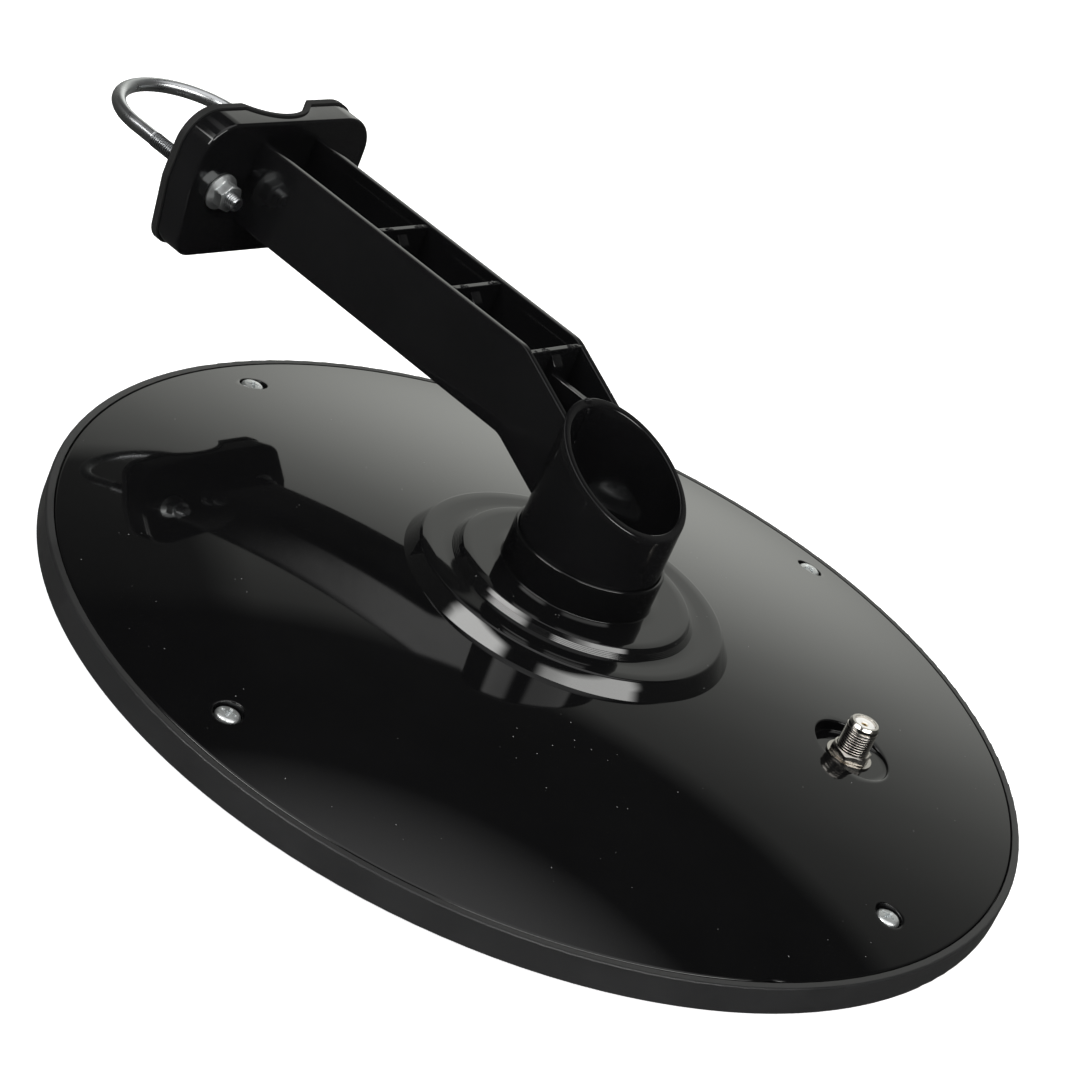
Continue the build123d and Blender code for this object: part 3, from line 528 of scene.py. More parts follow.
# ---------------------------------------------------------------- screws with a cross recess
def pan_head(head_r, head_h, shank_r, length, pitch, turn_deg, arm_half=0.13):
    """Turned screw: a domed head whose face is lowered inside a tapered cross of two slots, a neck and a
    threaded shank whose radius falls by a rounded triangle wave of height over pitch less angle."""
    t = np.linspace(0, 1, 40)[:, None]
    face_r = head_r * 0.8 * t[:, 0]
    face = np.stack([face_r, head_h - 0.10 * head_h * (face_r / head_r) ** 2], -1)
    side = rounded([(head_r * 0.8, face[-1, 1], 0), (head_r * 0.99, head_h * 0.80, head_h * 0.34),
                    (head_r, head_h * 0.06, 0.12), (head_r * 0.97, 0, 0), (shank_r, 0, 0.1),
                    (shank_r, -length + shank_r, 0), (shank_r * 0.3, -length, 0), (0, -length, 0)],
                   pitch / 80)
    profile = np.concatenate([face, side[1:]])

    def shape(r, z, a):
        """Cross recess: sunk by its depth wherever the point lies inside either tapered slot."""
        b = a + math.radians(turn_deg)
        x, y = r * np.cos(b), r * np.sin(b)
        reach, half, deep = head_r * 0.60, head_r * arm_half, head_h * 0.62
        out = np.minimum(np.maximum(np.abs(x) - reach, np.abs(y) - half * (1.25 - 0.5 * np.abs(x) / reach)),
                         np.maximum(np.abs(y) - reach, np.abs(x) - half * (1.25 - 0.5 * np.abs(y) / reach)))
        well = np.clip(-out / (head_r * 0.055), 0, 1) * np.clip(1.25 - 0.75 * r / reach, 0, 1)
        z = z - deep * well * (z > head_h * 0.5)
        wave = np.abs(((z / pitch - a / TURN) % 1) - 0.5) * 2
        cut = (z < -0.6) * (z > -length + shank_r) * pitch * 0.5
        return r - cut * wave, z

    return turned(profile, 96, shape=shape)


def moved(part, x, y, z):
    """Every point of the part carried along by x, y and z."""
    return part[0] + np.array([x, y, z]), part[1]


cover_screw = [moved(pan_head(head_r=3.6, head_h=3.2, shank_r=1.5, length=6.0, pitch=0.7,
                              turn_deg=20 + 23 * k), *FACE_SCREW[k], SCREW_SEAT + 0.02)
               for k in range(4)]
screw_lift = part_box("cover_screws")[0][2] / MM - min(p[0][:, 2].min() for p in cover_screw)
cover_screw = [moved(p, 0, 0, screw_lift) for p in cover_screw]
make_piece("cover_screw_set", cover_screw, zinc_pale, "disc", ["cover_screws"], crease=30)
pivot_low, pivot_high = (corner[2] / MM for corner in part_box("pivot_screw"))
PIVOT_HEAD = 3.2
pivot_screw = pan_head(head_r=5.6, head_h=PIVOT_HEAD, shank_r=3.0,
                       length=pivot_high - pivot_low - PIVOT_HEAD, pitch=1.0, turn_deg=15)
make_piece("pivot_screw_turned", [moved(pivot_screw, 0, 0, pivot_high - PIVOT_HEAD)],
           zinc_pale, "disc", ["pivot_screw"], crease=30)


# ---------------------------------------------------------------- antenna socket
def threaded_profile(radius, depth, pitch, low, high):
    """Radius function of a thread: the crest less depth times a rounded wave of height over pitch less
    angle, fading in and out over one pitch at its ends."""
    def shape(r, z, a):
        """Only the points at the thread's own radius are cut."""
        wave = 0.5 - 0.5 * np.cos(TURN * (z / pitch - a / TURN))
        fade = np.clip((z - low) / pitch, 0, 1) * np.clip((high - z) / pitch, 0, 1)
        on = np.abs(r - radius) < 0.02
        return r - on * fade * depth * wave ** 0.8, z
    return shape


def socket_body():
    """Nickel socket, turned: flange, barrel, fine thread, plain chamfered collar and the bore."""
    tip, flange, flange_t, flange_r, barrel_r, collar_r = FEED_TIP, RECESS_Z - WALL, 1.5, 7.2, 6.0, 4.58
    thread = [(FEED_THREAD_R, z) for z in np.arange(flange + 0.05, tip - 2.15, FEED_PITCH / 12)]
    outline = [*rounded([(FEED_BORE, FEED_FOOT, 0), (barrel_r, FEED_FOOT, 0.3),
                         (barrel_r, flange - flange_t, 0), (flange_r, flange - flange_t, 0.2),
                         (flange_r, flange, 0.2), (FEED_THREAD_R, flange, 0)], 0.08),
               *thread,
               *rounded([(FEED_THREAD_R, tip - 2.1, 0), (4.42, tip - 2.0, 0.06),
                         (collar_r, tip - 1.75, 0.08), (collar_r, tip - 0.75, 0.1), (4.05, tip, 0.08),
                         (FEED_BORE, tip, 0.1), (FEED_BORE, tip - 0.6, 0), (FEED_BORE, FEED_FOOT, 0)], 0.06)]
    shape = threaded_profile(FEED_THREAD_R, 0.46, FEED_PITCH, flange + 0.4, tip - 2.2)
    return turned(np.array(outline), 72, (FEED_X, FEED_Y), closed=True, shape=shape)


def insulator_body():
    """White plug, turned, with a lightly dished face and a small centre hole with a rounded mouth."""
    top, hole_r, plug_r = FEED_TIP - 0.5, 0.97, 3.2
    line = rounded([(hole_r, FEED_FOOT, 0), (plug_r, FEED_FOOT, 0), (plug_r, top, 0.25),
                    (1.9, top - 0.12, 0.5), (1.25, top - 0.05, 0.1), (hole_r, top - 0.45, 0.1),
                    (hole_r, FEED_FOOT, 0)], 0.06)
    return turned(line, 96, (FEED_X, FEED_Y), closed=True)


def hexagon(across_flats, a, soft=0.12):
    """Radius of a hexagon at angle a, with its corners eased by soft."""
    b = (a + np.pi / 6) % (np.pi / 3) - np.pi / 6
    flat = across_flats / 2 / np.cos(b)
    return np.minimum(flat, across_flats / math.sqrt(3) - soft)


def hex_nut(across_flats, height, bore, turn_deg, flange_r=0, flange_t=0, both_ends=False):
    """Turned loop whose outer radius is the smaller of a hexagon and a 30 degree chamfer cone, and never
    less than the flange's own profile. The lower end is chamfered too if both_ends says so."""
    n, mouth, ease, cone_slope = 26, 0.25, 0.15, math.tan(math.radians(30))
    z = np.concatenate([np.linspace(0, 1, n) ** 1.3 * height * 0.5,
                        height - np.linspace(1, 0, n)[1:] ** 1.3 * height * 0.5])
    outer = np.full_like(z, across_flats)
    line = np.stack([np.concatenate([[bore + mouth], outer, [bore + mouth, bore], [bore]]),
                     np.concatenate([[0], z, [height, height - mouth], [mouth]])], -1)
    far = across_flats / math.sqrt(3)

    def shape(r, zz, a):
        """Outer radius of the hexagon, its cones and the flange at each height and angle."""
        top = across_flats / 2 * 0.955 + (height - zz) / cone_slope
        low = across_flats / 2 * 0.955 + (zz / cone_slope if both_ends else far)
        body = np.minimum(hexagon(across_flats, a + math.radians(turn_deg)), np.minimum(top, low))
        skirt = 0 * zz
        if flange_r:
            cone = flange_r - (zz - flange_t * 0.6) * (flange_r - across_flats / 2) / flange_t
            edge = flange_r - ease * np.clip(1 - zz / ease, 0, 1)
            skirt = np.where(zz < flange_t * 0.6, edge, cone)
        solid = np.maximum(body, skirt)
        return np.where(r > bore + 0.3, solid, r), zz

    return turned(line, 192, closed=True, shape=shape)


make_piece("socket_threaded", [socket_body()], nickel, "disc", ["connector_body"], crease=75)
make_piece("socket_dielectric", [insulator_body()], dielectric, "disc", ["connector_insulator"],
           crease=40)
socket_nut = hex_nut(across_flats=11.1, height=2.4, bore=4.78, turn_deg=12, both_ends=True)
socket_nut = moved(socket_nut, FEED_X, FEED_Y, RECESS_Z + 0.6)
make_piece("socket_hex_nut", [socket_nut], nickel_plain, "disc", ["connector_nut"], crease=25)


# ---------------------------------------------------------------- mast arm
def arm_edge(y, level, bend_y):
    """Height of the arm's top or bottom line: level, then falling at the bend, with a parabola as long
    as twice the reach in place of the corner."""
    d, reach = bend_y - y, 1.75
    return level - ARM_FALL * np.where(d > reach, d, np.where(d < -reach, 0, (d + reach) ** 2 / (4 * reach)))


def channel_part():
    """U section carried along the arm. Each of its points is a share of the way from the bottom line to
    the top line plus an offset, and its start is where the tube's wall stands at that width."""
    h, w, e, corner = ARM_HALF, ARM_HALF - ARM_WALL, 0.45, 0.8
    q = np.linspace(0, np.pi / 2, 6)
    s, c = np.sin(q), np.cos(q)
    top_out = np.stack([-(h - e) - e * s, 1 + 0 * q, -e + e * c], -1)
    mids = np.linspace(1, 0, 7)[1:-1]
    side_out = np.stack([-h + 0 * mids, mids, 0 * mids], -1)
    low_out = np.stack([-(h - corner) - corner * c, 0 * q, corner - corner * s], -1)
    outer = np.concatenate([top_out, side_out, low_out, [[-6.0, 0, 0], [0.0, 0, 0]]])
    top_in = np.stack([-(w + e) + e * s, 1 + 0 * q, -e + e * c], -1)
    side_in = np.stack([-w + 0 * mids, mids, 0 * mids], -1)
    low_in = np.stack([-(w - corner) - corner * c, 0 * q, ARM_WALL + corner - corner * s], -1)
    inner = np.concatenate([top_in, side_in, low_in, [[-6.0, 0, ARM_WALL], [0.0, 0, ARM_WALL]]])
    flip = np.array([-1.0, 1.0, 1.0])
    out_loop = np.concatenate([outer, outer[::-1][1:] * flip])
    in_loop = np.concatenate([inner, inner[::-1][1:] * flip])
    loop = np.concatenate([out_loop, in_loop[::-1]])
    t = np.concatenate([np.linspace(0, 1, 6)[:-1] * 0.12, 0.12 + 0.11 * np.linspace(0, 1, 26)[:-1],
                        0.23 + 0.77 * np.linspace(0, 1, 24)])[:, None]
    start = np.sqrt(ARM_ROOT_R ** 2 - loop[:, 0] ** 2)
    y = start + (PLATE_Y + 0.6 - start) * t
    bottom, top = arm_edge(y, ARM_BOTTOM, BEND_BOTTOM_Y), arm_edge(y, ARM_TOP, BEND_TOP_Y)
    z = bottom + (top - bottom) * loop[:, 1] + loop[:, 2]
    sweep = np.stack([np.broadcast_to(loop[:, 0], y.shape), y, z], -1)
    n = len(out_loop)
    caps = [patch(np.stack([sweep[k, :n], sweep[k, n:][::-1]]), close_cols=False) for k in (0, -1)]
    return [patch(sweep)] + caps


def tube_part():
    """Turned loop whose upper rows rise with the mouth: height is a share of the slanted mouth plane at
    that point plus an offset, with the lip as a half round."""
    q, e = np.linspace(0, np.pi / 2, 6), TUBE_LIP
    out_r = np.concatenate([[TUBE_R - e], TUBE_R - e + e * np.sin(q), np.full(14, TUBE_R),
                            TUBE_R - e + e * np.cos(q), TUBE_BORE + e - e * np.sin(q),
                            np.full(14, TUBE_BORE), [TUBE_BORE]])
    share = np.concatenate([[0], 0 * q, np.linspace(0, 1, 16)[1:-1], 1 + 0 * q, 1 + 0 * q,
                            np.linspace(1, 0, 16)[1:-1], [0]])
    lift = np.concatenate([[0], e - e * np.cos(q), np.zeros(14), -e + e * np.sin(q), -e + e * np.cos(q),
                           np.zeros(14), [0]])
    a = np.arange(192) / 192 * TURN
    r = out_r[:, None] + 0 * a
    mouth = MOUTH_Z + MOUTH_SLOPE * r * np.sin(a)
    z = (FLOOR_Z + 0.1) * (1 - share[:, None]) + mouth * share[:, None] + lift[:, None]
    wall = patch(np.stack([r * np.cos(a), r * np.sin(a), z], -1), close_rows=True)
    web = rounded([(PIVOT_HOLE_R, WEB_LOW, 0), (ARM_ROOT_R, WEB_LOW, 0), (ARM_ROOT_R, WEB_HIGH, 0),
                   (PIVOT_HOLE_R, WEB_HIGH, 0.3), (PIVOT_HOLE_R, WEB_LOW, 0)])
    return [wall, turned(web, 96, closed=True)]


def block(x0, x1, y0, y1, low, high, edge, along=1):
    """Bar with eased top edges: a rounded section in the XZ plane carried along Y, or high and low may be
    functions of Y that its heights follow."""
    q = np.linspace(0, np.pi / 2, 5)
    s, c = np.sin(q), np.cos(q)
    xs = np.concatenate([[x0], x0 + edge - edge * c, x1 - edge + edge * s, [x1]])
    share = np.concatenate([[0], 1 + 0 * q, 1 + 0 * q, [0]])
    lift = np.concatenate([[0], -edge + edge * s, -edge + edge * c, [0]])
    n = len(xs)
    ys = np.concatenate([[y0], y0 + edge - edge * c[1:], np.linspace(y0 + edge, y1 - edge, along + 2)[1:-1],
                         y1 - edge + edge * s[:-1], [y1]])
    inset = np.concatenate([[edge], edge - edge * s[1:], np.zeros(along), edge - edge * c[:-1], [edge]])
    top = high(ys) if callable(high) else np.full(len(ys), float(high))
    base = low(ys) if callable(low) else np.full(len(ys), float(low))
    y = np.repeat(ys[:, None], n, 1)
    x = np.repeat(xs[None, :], len(ys), 0)
    z = base[:, None] * (1 - share) + (top - inset)[:, None] * share + lift * (share > 0)
    points = np.stack([x, y, z], -1)
    half = n // 2
    caps = [patch(np.stack([points[k, :half], points[k, half:][::-1]]), close_cols=False) for k in (0, -1)]
    return [patch(points)] + caps


def nub(x, y, z, size, seed):
    """Small rough lump left by the mould: a flattened ball whose radius wanders with a seeded sum of
    waves over its two angles."""
    rng = np.random.default_rng(seed)
    u = np.linspace(0, np.pi, 15)[:, None]
    v = np.arange(22)[None, :] / 22 * TURN
    r = 1 + 0 * u * v
    for k in range(5):
        p, f = rng.uniform(0, TURN, 2), rng.integers(2, 6, 2)
        r = r + 0.11 * np.sin(f[0] * u + p[0]) * np.sin(f[1] * v + p[1]) * np.sin(u)
    sx, sy, sz = size
    return patch(np.stack([x + sx * r * np.sin(u) * np.cos(v), y + sy * r * np.sin(u) * np.sin(v),
                           z + sz * r * np.cos(u)], -1))


def seam_bead():
    """Rough bead of the mould's seam down the inside wall at +Y: a small circle carried down the wall,
    its radius a seeded sum of waves along the way."""
    rng = np.random.default_rng(7)
    t = np.linspace(0, 1, 90)[:, None]
    v = np.arange(10)[None, :] / 10 * TURN
    size = 0.55 + 0 * t
    for k in range(7):
        size = size + 0.07 * np.sin(t * TURN * rng.uniform(3, 22) + rng.uniform(0, TURN))
    size = size * np.clip(t * 30, 0, 1) * np.clip((1 - t) * 30, 0, 1)
    foot, top = WEB_HIGH - 0.2, MOUTH_Z + MOUTH_SLOPE * TUBE_BORE - 0.3
    x = size * np.cos(v) + 0.12 * np.sin(t * 31)
    y = TUBE_BORE + 0.05 + size * np.sin(v)
    return patch(np.stack([x, y, foot + (top - foot) * t + 0 * v], -1))


def plate_outline(grow):
    """Upper and lower line of the plate's six-sided outline with rounded corners, as heights over
    shared widths, both stretched so that the outline is grow wider on every side."""
    w, h = PLATE_HALF_WIDTH, PLATE_HALF_HEIGHT
    top = rounded([(-w, 0, 0), (-35.8, h, 12.0), (35.8, h, 12.0), (w, 0, 0)], 0.2)
    foot = rounded([(-w, 0, 0), (-32.2, -h, 7.5), (32.2, -h, 7.5), (w, 0, 0)], 0.2)
    extra = np.concatenate([np.linspace(-20, 20, 61), [-w, w]])
    xs = np.unique(np.round(np.concatenate([top[:, 0], foot[:, 0], extra]), 3))
    up, down = np.interp(xs, top[:, 0], top[:, 1]), np.interp(xs, foot[:, 0], foot[:, 1])
    return xs * (1 + grow / w), up * (1 + grow / h), down * (1 + grow / h)


def plate_part(grow, near, far, edge, far_edge=0.0):
    """Slab between y = near(x) and y = far(x) inside the plate's outline. Its rows are the outline moved
    inwards along its own normals and along Y by a quarter round, and its faces are strips between the
    upper and lower lines."""
    xs, up, down = plate_outline(grow)
    loop = np.concatenate([np.stack([xs, up], -1), np.stack([xs, down], -1)[::-1][1:-1]])
    n = len(xs)
    ahead, behind = np.roll(loop, -1, 0), np.roll(loop, 1, 0)
    tangent = (ahead - loop) / np.maximum(1e-6, np.linalg.norm(ahead - loop, axis=1, keepdims=True))
    tangent += (loop - behind) / np.maximum(1e-6, np.linalg.norm(loop - behind, axis=1, keepdims=True))
    tangent /= np.linalg.norm(tangent, axis=1, keepdims=True)
    normal = np.stack([-tangent[:, 1], tangent[:, 0]], -1)
    q = np.linspace(0, np.pi / 2, 10)

    def ring(inset, y):
        """The outline moved in by inset, at depth y."""
        p = loop - normal * inset
        return np.stack([p[:, 0], np.broadcast_to(y, len(p)), PLATE_Z + p[:, 1]], -1)

    front, rear = near(loop[:, 0]), far(loop[:, 0])
    rows = [ring(edge - edge * math.sin(k), front + edge - edge * math.cos(k)) for k in q]
    if far_edge:
        rows += [ring(far_edge * (1 - math.cos(k)), rear - far_edge * (1 - math.sin(k))) for k in q]
    else:
        rows += [ring(0, rear)]
    shell = np.stack(rows)

    def face(row):
        """Strips between the row's upper line and its lower line."""
        upper = row[:n]
        lower = np.concatenate([row[:1], row[n:][::-1], row[n - 1:n]])
        t = np.linspace(0, 1, 4)[:, None, None]
        return patch(upper[None] * (1 - t) + lower[None] * t, close_cols=False)

    return [patch(shell), face(shell[0]), face(shell[-1])]


def groove(radius, flat):
    """Depth line of the mast groove: the flat back, or the circle about the mast where that is nearer."""
    def line(x):
        """Depth at width x."""
        inside = np.abs(x) < radius
        return np.where(inside, np.minimum(flat, MAST_Y - np.sqrt(np.maximum(radius ** 2 - x ** 2, 0))), flat)
    return line


def plate_front(x):
    """Depth line of the plate's flat front."""
    return 0 * x + PLATE_Y


def rib_foot(y):
    """Height at which the ribs start, within the channel's floor."""
    return arm_edge(y, ARM_BOTTOM, BEND_BOTTOM_Y) + 0.8


def rib_parts(k, share):
    """Cross rib at a share of the arm's length, with the ejector post beside it, whose top slopes, and
    the lumps of flash along its edge. The rib at the bend is a little lower."""
    y, low = PLATE_Y * share, 0.25 if k == 0 else 0
    rib_reach, rib_half, post_half, post_length, post_slope = 11.5, 0.9, 2.0, 3.5, 0.9

    def post_top(t):
        """Height of the post's top at depth t."""
        return POST_TOP - post_slope * (y - t)

    parts = block(-rib_reach, rib_reach, y - rib_half, y + rib_half, rib_foot, RIB_TOP - low, 0.28)
    parts += block(-post_half, post_half, y - post_length, y, rib_foot, post_top, 0.35)
    lumps = ((-9.2, 0.6), (-5.6, 1.0), (-4.4, 0.6), (5.6, 0.6), (6.9, 1.1), (9.6, 0.7))
    for n, (x, size) in enumerate(lumps):
        parts.append(nub(x + 0.6 * math.sin(5 * k + n), y - 0.2, RIB_TOP - 0.15 - low,
                         (1.2 * size, 0.75 * size, 0.62 * size), 10 * k + n))
    return parts


def arm_parts():
    """Channel, tube, three cross ribs, the long rib down the middle, and the flash on the tube."""
    parts = channel_part() + tube_part()
    for k, share in enumerate(RIB_SHARES):
        parts += rib_parts(k, share)
    parts += block(-1.0, 1.0, ARM_ROOT_R - 0.2, PLATE_Y + 0.4, rib_foot, KEEL_TOP, 0.3, along=60)
    parts.append(seam_bead())
    rim_y = 20.6
    parts.append(nub(0.2, rim_y, MOUTH_Z + MOUTH_SLOPE * rim_y + 0.1, (1.3, 1.0, 0.7), 41))
    return parts + plate_part(0.0, plate_front, groove(PLATE_GROOVE_R, PLATE_BACK), 1.0)


make_piece("arm_moulding", arm_parts(), arm_semi, "bracket", ["mast_arm"], crease=11)
grip_pad = plate_part(0.6, groove(PLATE_GROOVE_R, PLATE_BACK), groove(PAD_GROOVE_R, PAD_BACK), 0.05, 0.35)
make_piece("mast_grip_pad", grip_pad, pad_rubber, "bracket", ["mast_pad"], crease=11)


# ---------------------------------------------------------------- clamp
def clamp_rod():
    """Circle carried along leg, half-turn bow and leg. Its radius is the shank's, or on the legs the
    thread's crest less a rounded wave of way over pitch less angle, and its tips are chamfered."""
    leg, bow, up = BOW_Y - LEG_TIP, np.pi * LEG_X, np.array([0.0, 0.0, 1.0])
    total, length, run_out, chamfer = 2 * leg + bow, 39.6, 1.2, 0.6
    fine = np.arange(0, length + run_out, THREAD_PITCH / 14)
    s = np.concatenate([fine, np.linspace(fine[-1], leg, 6)[1:], leg + bow * np.linspace(0, 1, 72)[1:]])
    half = s[s <= total / 2]
    s = np.unique(np.round(np.concatenate([half, total - half]), 5))
    turn = np.clip((s - leg) / LEG_X, 0, np.pi)
    x = -LEG_X * np.cos(turn)
    y = np.where(s < leg, LEG_TIP + s,
                 np.where(s > leg + bow, LEG_TIP + total - s, BOW_Y + LEG_X * np.sin(turn)))
    side = np.stack([-np.cos(turn), np.sin(turn), 0 * turn], -1)
    a = np.arange(28) / 28 * TURN
    way = np.minimum(s, total - s)[:, None]
    wave = 0.5 - 0.5 * np.cos(TURN * (way / THREAD_PITCH - a / TURN))
    threaded = np.clip((length - way) / run_out, 0, 1)
    crest = THREAD_R * threaded + SHANK_R * (1 - threaded)
    tip = np.clip(way / chamfer, 0, 1)
    r = (crest - 0.44 * wave ** 0.8 * threaded * tip) * (0.78 + 0.22 * tip)
    centre = np.stack([x, y, np.full_like(x, PLATE_Z)], -1)
    ring = side[:, None] * (r * np.cos(a))[..., None] + up * (r * np.sin(a))[..., None]
    body = centre[:, None] + ring
    ends = [np.repeat(centre[k][None, None], 28, 1) for k in (0, -1)]
    return patch(np.concatenate([ends[0], body, ends[1]]))


make_piece("clamp_u_bolt", [clamp_rod()], zinc, "clamp_bolt", ["u_bolt"], crease=48)
for side, body in ((-1, "nut_left"), (1, "nut_right")):
    nut = hex_nut(across_flats=8.0, height=5.0, bore=2.45, turn_deg=10 * side, flange_r=5.9, flange_t=1.1)
    make_piece("clamp_" + body, [laid_along_y(nut, side * LEG_X, PLATE_Y, PLATE_Z, reverse=True)],
               zinc_pale, body, ["flange_" + body], crease=25)


# ---------------------------------------------------------------- stage, light and camera
# The lit wall's middle is an azimuth and elevation in degrees, and WALL_FALL gives its brightness for
# the cosine of the angle from there. It is full below its top edge and faint above. The curtain hides
# what lies round its azimuth: its sides are cosines. Every other edge is the sines of two elevations.
FLOOR_GLOW = 0.84
WALL_MIDDLE, WALL_FULL, WALL_ABOVE, WALL_TOP_EDGE = (31, 12), 1.28, 0.10, (0.622, 0.655)
WALL_FALL = ((0.0, 0.03), (0.5, 0.04), (0.7, 0.07), (0.82, 0.13), (0.87, 0.18), (0.92, 0.28),
             (0.948, 0.39), (0.97, 0.57), (0.985, 0.78), (1.0, 1.0))
CURTAIN_AZIMUTH, CURTAIN_SIDES, CURTAIN_FOOT, CURTAIN_SHARE = 74, (0.891, 0.914), (0.37, 0.41), 0.2
CEILING, CEILING_EDGE = 1.2, (0.80, 0.90)
# Strip lights: azimuth, half width, soft edge, lowest and highest elevation in degrees, and power.
STRIP_LIGHTS = ((160, 22, 7, 32.5, 45, 9.6), (-109, 36, 6, 32.5, 45, 7.3))


def stage_piece(name, points, quads, glow):
    """A stage piece in metres with a dull, evenly glowing material. Returns it and its material."""
    mesh = bpy.data.meshes.new(name)
    mesh.from_pydata(points, [], quads)
    piece = bpy.data.objects.new(name, mesh)
    bpy.context.scene.collection.objects.link(piece)
    finish = material_tools("pale_" + name)
    shader = finish[2]
    shader.inputs["Specular IOR Level"].default_value = 0.0
    shader.inputs["Emission Color"].default_value = (1, 1, 1, 1)
    shader.inputs["Emission Strength"].default_value = glow
    mesh.materials.append(finish[0])
    return piece, finish


def pale_floor():
    """Square sheet just under the antenna, lit a little from within and left out of mirror images."""
    a = np.linspace(-4, 4, 9)
    x, y = np.meshgrid(a, a, indexing="ij")
    p, f = patch(np.stack([x, y, np.full_like(x, -0.0006)], -1), close_cols=False)
    floor, (_, tree, shader, where) = stage_piece("floor", p, f[:, ::-1], FLOOR_GLOW)
    shader.inputs["Roughness"].default_value = 0.9
    tree.links.new(blend_colour(tree, noise(tree, where, 3.0), (0.86, 0.86, 0.86), (0.90, 0.90, 0.90)),
                   shader.inputs["Base Color"])
    floor.visible_glossy = False


def heading(azimuth, elevation):
    """Unit vector towards an azimuth and elevation in degrees."""
    a, e = math.radians(azimuth), math.radians(elevation)
    return Vector((math.cos(a) * math.cos(e), math.sin(a) * math.cos(e), math.sin(e)))


def nearness(tree, direction, azimuth, elevation=0):
    """Cosine of the angle between the direction and a heading."""
    return vector_maths(tree, "DOT_PRODUCT", direction, heading(azimuth, elevation))


def glow(tree, strength, colour=(1, 1, 1)):
    """Light of the world in one colour, as strong as another node's value."""
    light = tree.nodes.new("ShaderNodeBackground")
    light.inputs["Color"].default_value = (*colour, 1)
    tree.links.new(strength, light.inputs["Strength"])
    return light.outputs["Background"]


def light_strip(tree, level, height, azimuth, half, soft, low, high, power):
    """Strip light in the world: full within half degrees of its azimuth and between two elevations."""
    def at(degrees):
        """Cosine of an angle in degrees."""
        return math.cos(math.radians(degrees))

    across = spread(tree, nearness(tree, level, azimuth), 0.0, power, at(half + soft), at(half - soft))
    across.node.interpolation_type = "SMOOTHSTEP"
    bottom = spread(tree, height, 0.0, 1.0, at(91.5 - low), at(88.5 - low))
    top = spread(tree, height, 1.0, 0.0, at(92 - high), at(88 - high))
    between = maths(tree, "MULTIPLY", bottom, top)
    return glow(tree, maths(tree, "MULTIPLY", across, between), (1.0, 1.0, 0.98))


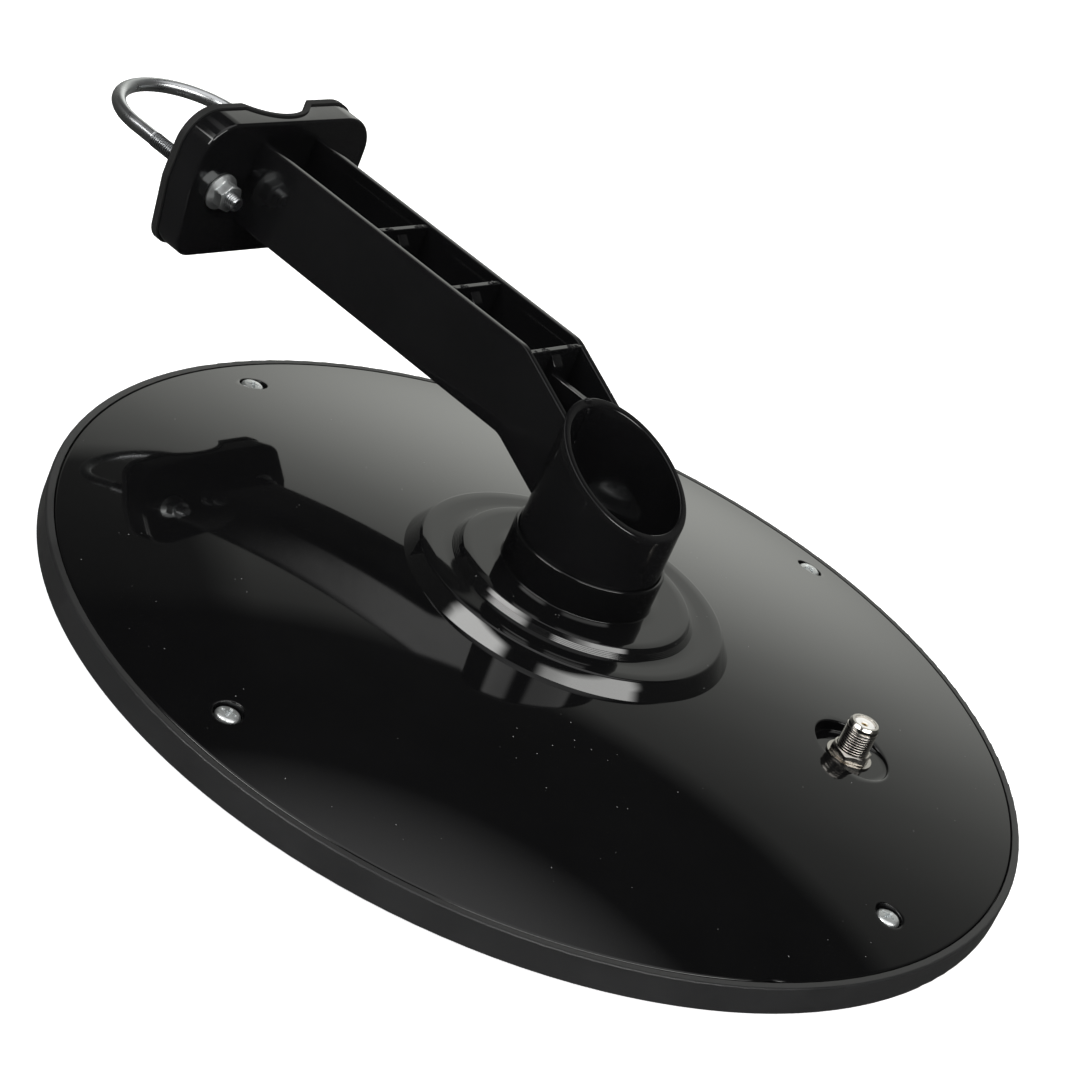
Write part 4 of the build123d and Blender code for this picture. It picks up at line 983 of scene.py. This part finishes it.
def studio_world():
    """Dark room with one wall lit behind the object, whose light falls off with the angle from its
    middle and ends at a straight upper edge and a dark curtain, a lit ceiling, and two strip lights in
    front of the object."""
    world = bpy.data.worlds.new("studio")
    bpy.context.scene.world = world
    world.use_nodes = True
    tree = world.node_tree
    direction = tree.nodes.new("ShaderNodeTexCoord").outputs["Generated"]
    split = tree.nodes.new("ShaderNodeSeparateXYZ")
    tree.links.new(direction, split.inputs["Vector"])
    height = split.outputs["Z"]
    level = vector_maths(tree, "NORMALIZE", vector_maths(tree, "MULTIPLY", direction, (1, 1, 0)))

    ramp = tree.nodes.new("ShaderNodeValToRGB")
    tree.links.new(nearness(tree, direction, *WALL_MIDDLE), ramp.inputs["Fac"])
    while len(ramp.color_ramp.elements) < len(WALL_FALL):
        ramp.color_ramp.elements.new(0.5)
    for element, (at, value) in zip(ramp.color_ramp.elements, WALL_FALL):
        element.position = at
        element.color = (value * 0.985, value, value * 0.945, 1)
    aside = spread(tree, nearness(tree, level, CURTAIN_AZIMUTH), 0.0, 1.0, *CURTAIN_SIDES)
    curtain = maths(tree, "MULTIPLY", aside, spread(tree, height, 0.0, 1.0, *CURTAIN_FOOT))
    lit = maths(tree, "MULTIPLY", spread(tree, height, WALL_FULL, WALL_ABOVE, *WALL_TOP_EDGE),
                spread(tree, curtain, 1.0, CURTAIN_SHARE, 0.0, 1.0))
    wall = tree.nodes["Background"]
    tree.links.new(ramp.outputs["Color"], wall.inputs["Color"])
    tree.links.new(lit, wall.inputs["Strength"])

    total = wall.outputs["Background"]
    lights = [glow(tree, spread(tree, height, 0.0, CEILING, *CEILING_EDGE), (0.8, 0.8, 0.8))]
    lights += [light_strip(tree, level, height, *strip) for strip in STRIP_LIGHTS]
    for light in lights:
        both = tree.nodes.new("ShaderNodeAddShader")
        tree.links.new(total, both.inputs[0])
        tree.links.new(light, both.inputs[1])
        total = both.outputs["Shader"]
    tree.links.new(total, tree.nodes["World Output"].inputs["Surface"])


def pale_backdrop():
    """Large ball round the stage that only the camera sees: a half circle carried round the axis."""
    u, radius = np.linspace(0, np.pi, 25), 9
    p, f = turned(np.stack([radius * np.sin(u), radius * np.cos(u)], -1), 48)
    ball, (_, _, shader, _) = stage_piece("backdrop", p, f, 1.0)
    shader.inputs["Base Color"].default_value = (0, 0, 0, 1)
    ball.visible_diffuse = ball.visible_glossy = ball.visible_transmission = ball.visible_shadow = False


def softbox(name, place, target, width, height, power):
    """Rectangular lamp at a place, aimed at a target, and left out of mirror images."""
    data = bpy.data.lights.new(name, "AREA")
    data.shape = "RECTANGLE"
    data.size, data.size_y, data.energy = width, height, power
    lamp = bpy.data.objects.new(name, data)
    lamp.location = place
    lamp.rotation_mode = "QUATERNION"
    lamp.rotation_quaternion = (Vector(target) - Vector(place)).to_track_quat("-Z", "Y")
    lamp.visible_glossy = False
    bpy.context.scene.collection.objects.link(lamp)


def antenna_camera():
    """Long lens at the place and along the three axes given, which look down on the disc's back."""
    data = bpy.data.cameras.new("camera")
    data.lens, data.sensor_width = 109.33, 36.0
    camera = bpy.data.objects.new("camera", data)
    right, up, back = (0.6267, -0.6860, 0.3704), (0.1336, 0.5623, 0.8162), (-0.7679, -0.4620, 0.4434)
    turn = Matrix((right, up, back)).transposed().to_4x4()
    camera.matrix_world = Matrix.Translation((-0.7247, -0.4197, 0.4524)) @ turn
    bpy.context.scene.collection.objects.link(camera)
    bpy.context.scene.camera = camera


pale_floor()
studio_world()
pale_backdrop()
TARGET = Vector((0.0, 0.04, 0.03))
softbox("top_fill", TARGET + heading(-150, 70) * 1.6, TARGET, 1.4, 1.4, 6)
antenna_camera()
bpy.context.scene.view_settings.view_transform = "Standard"
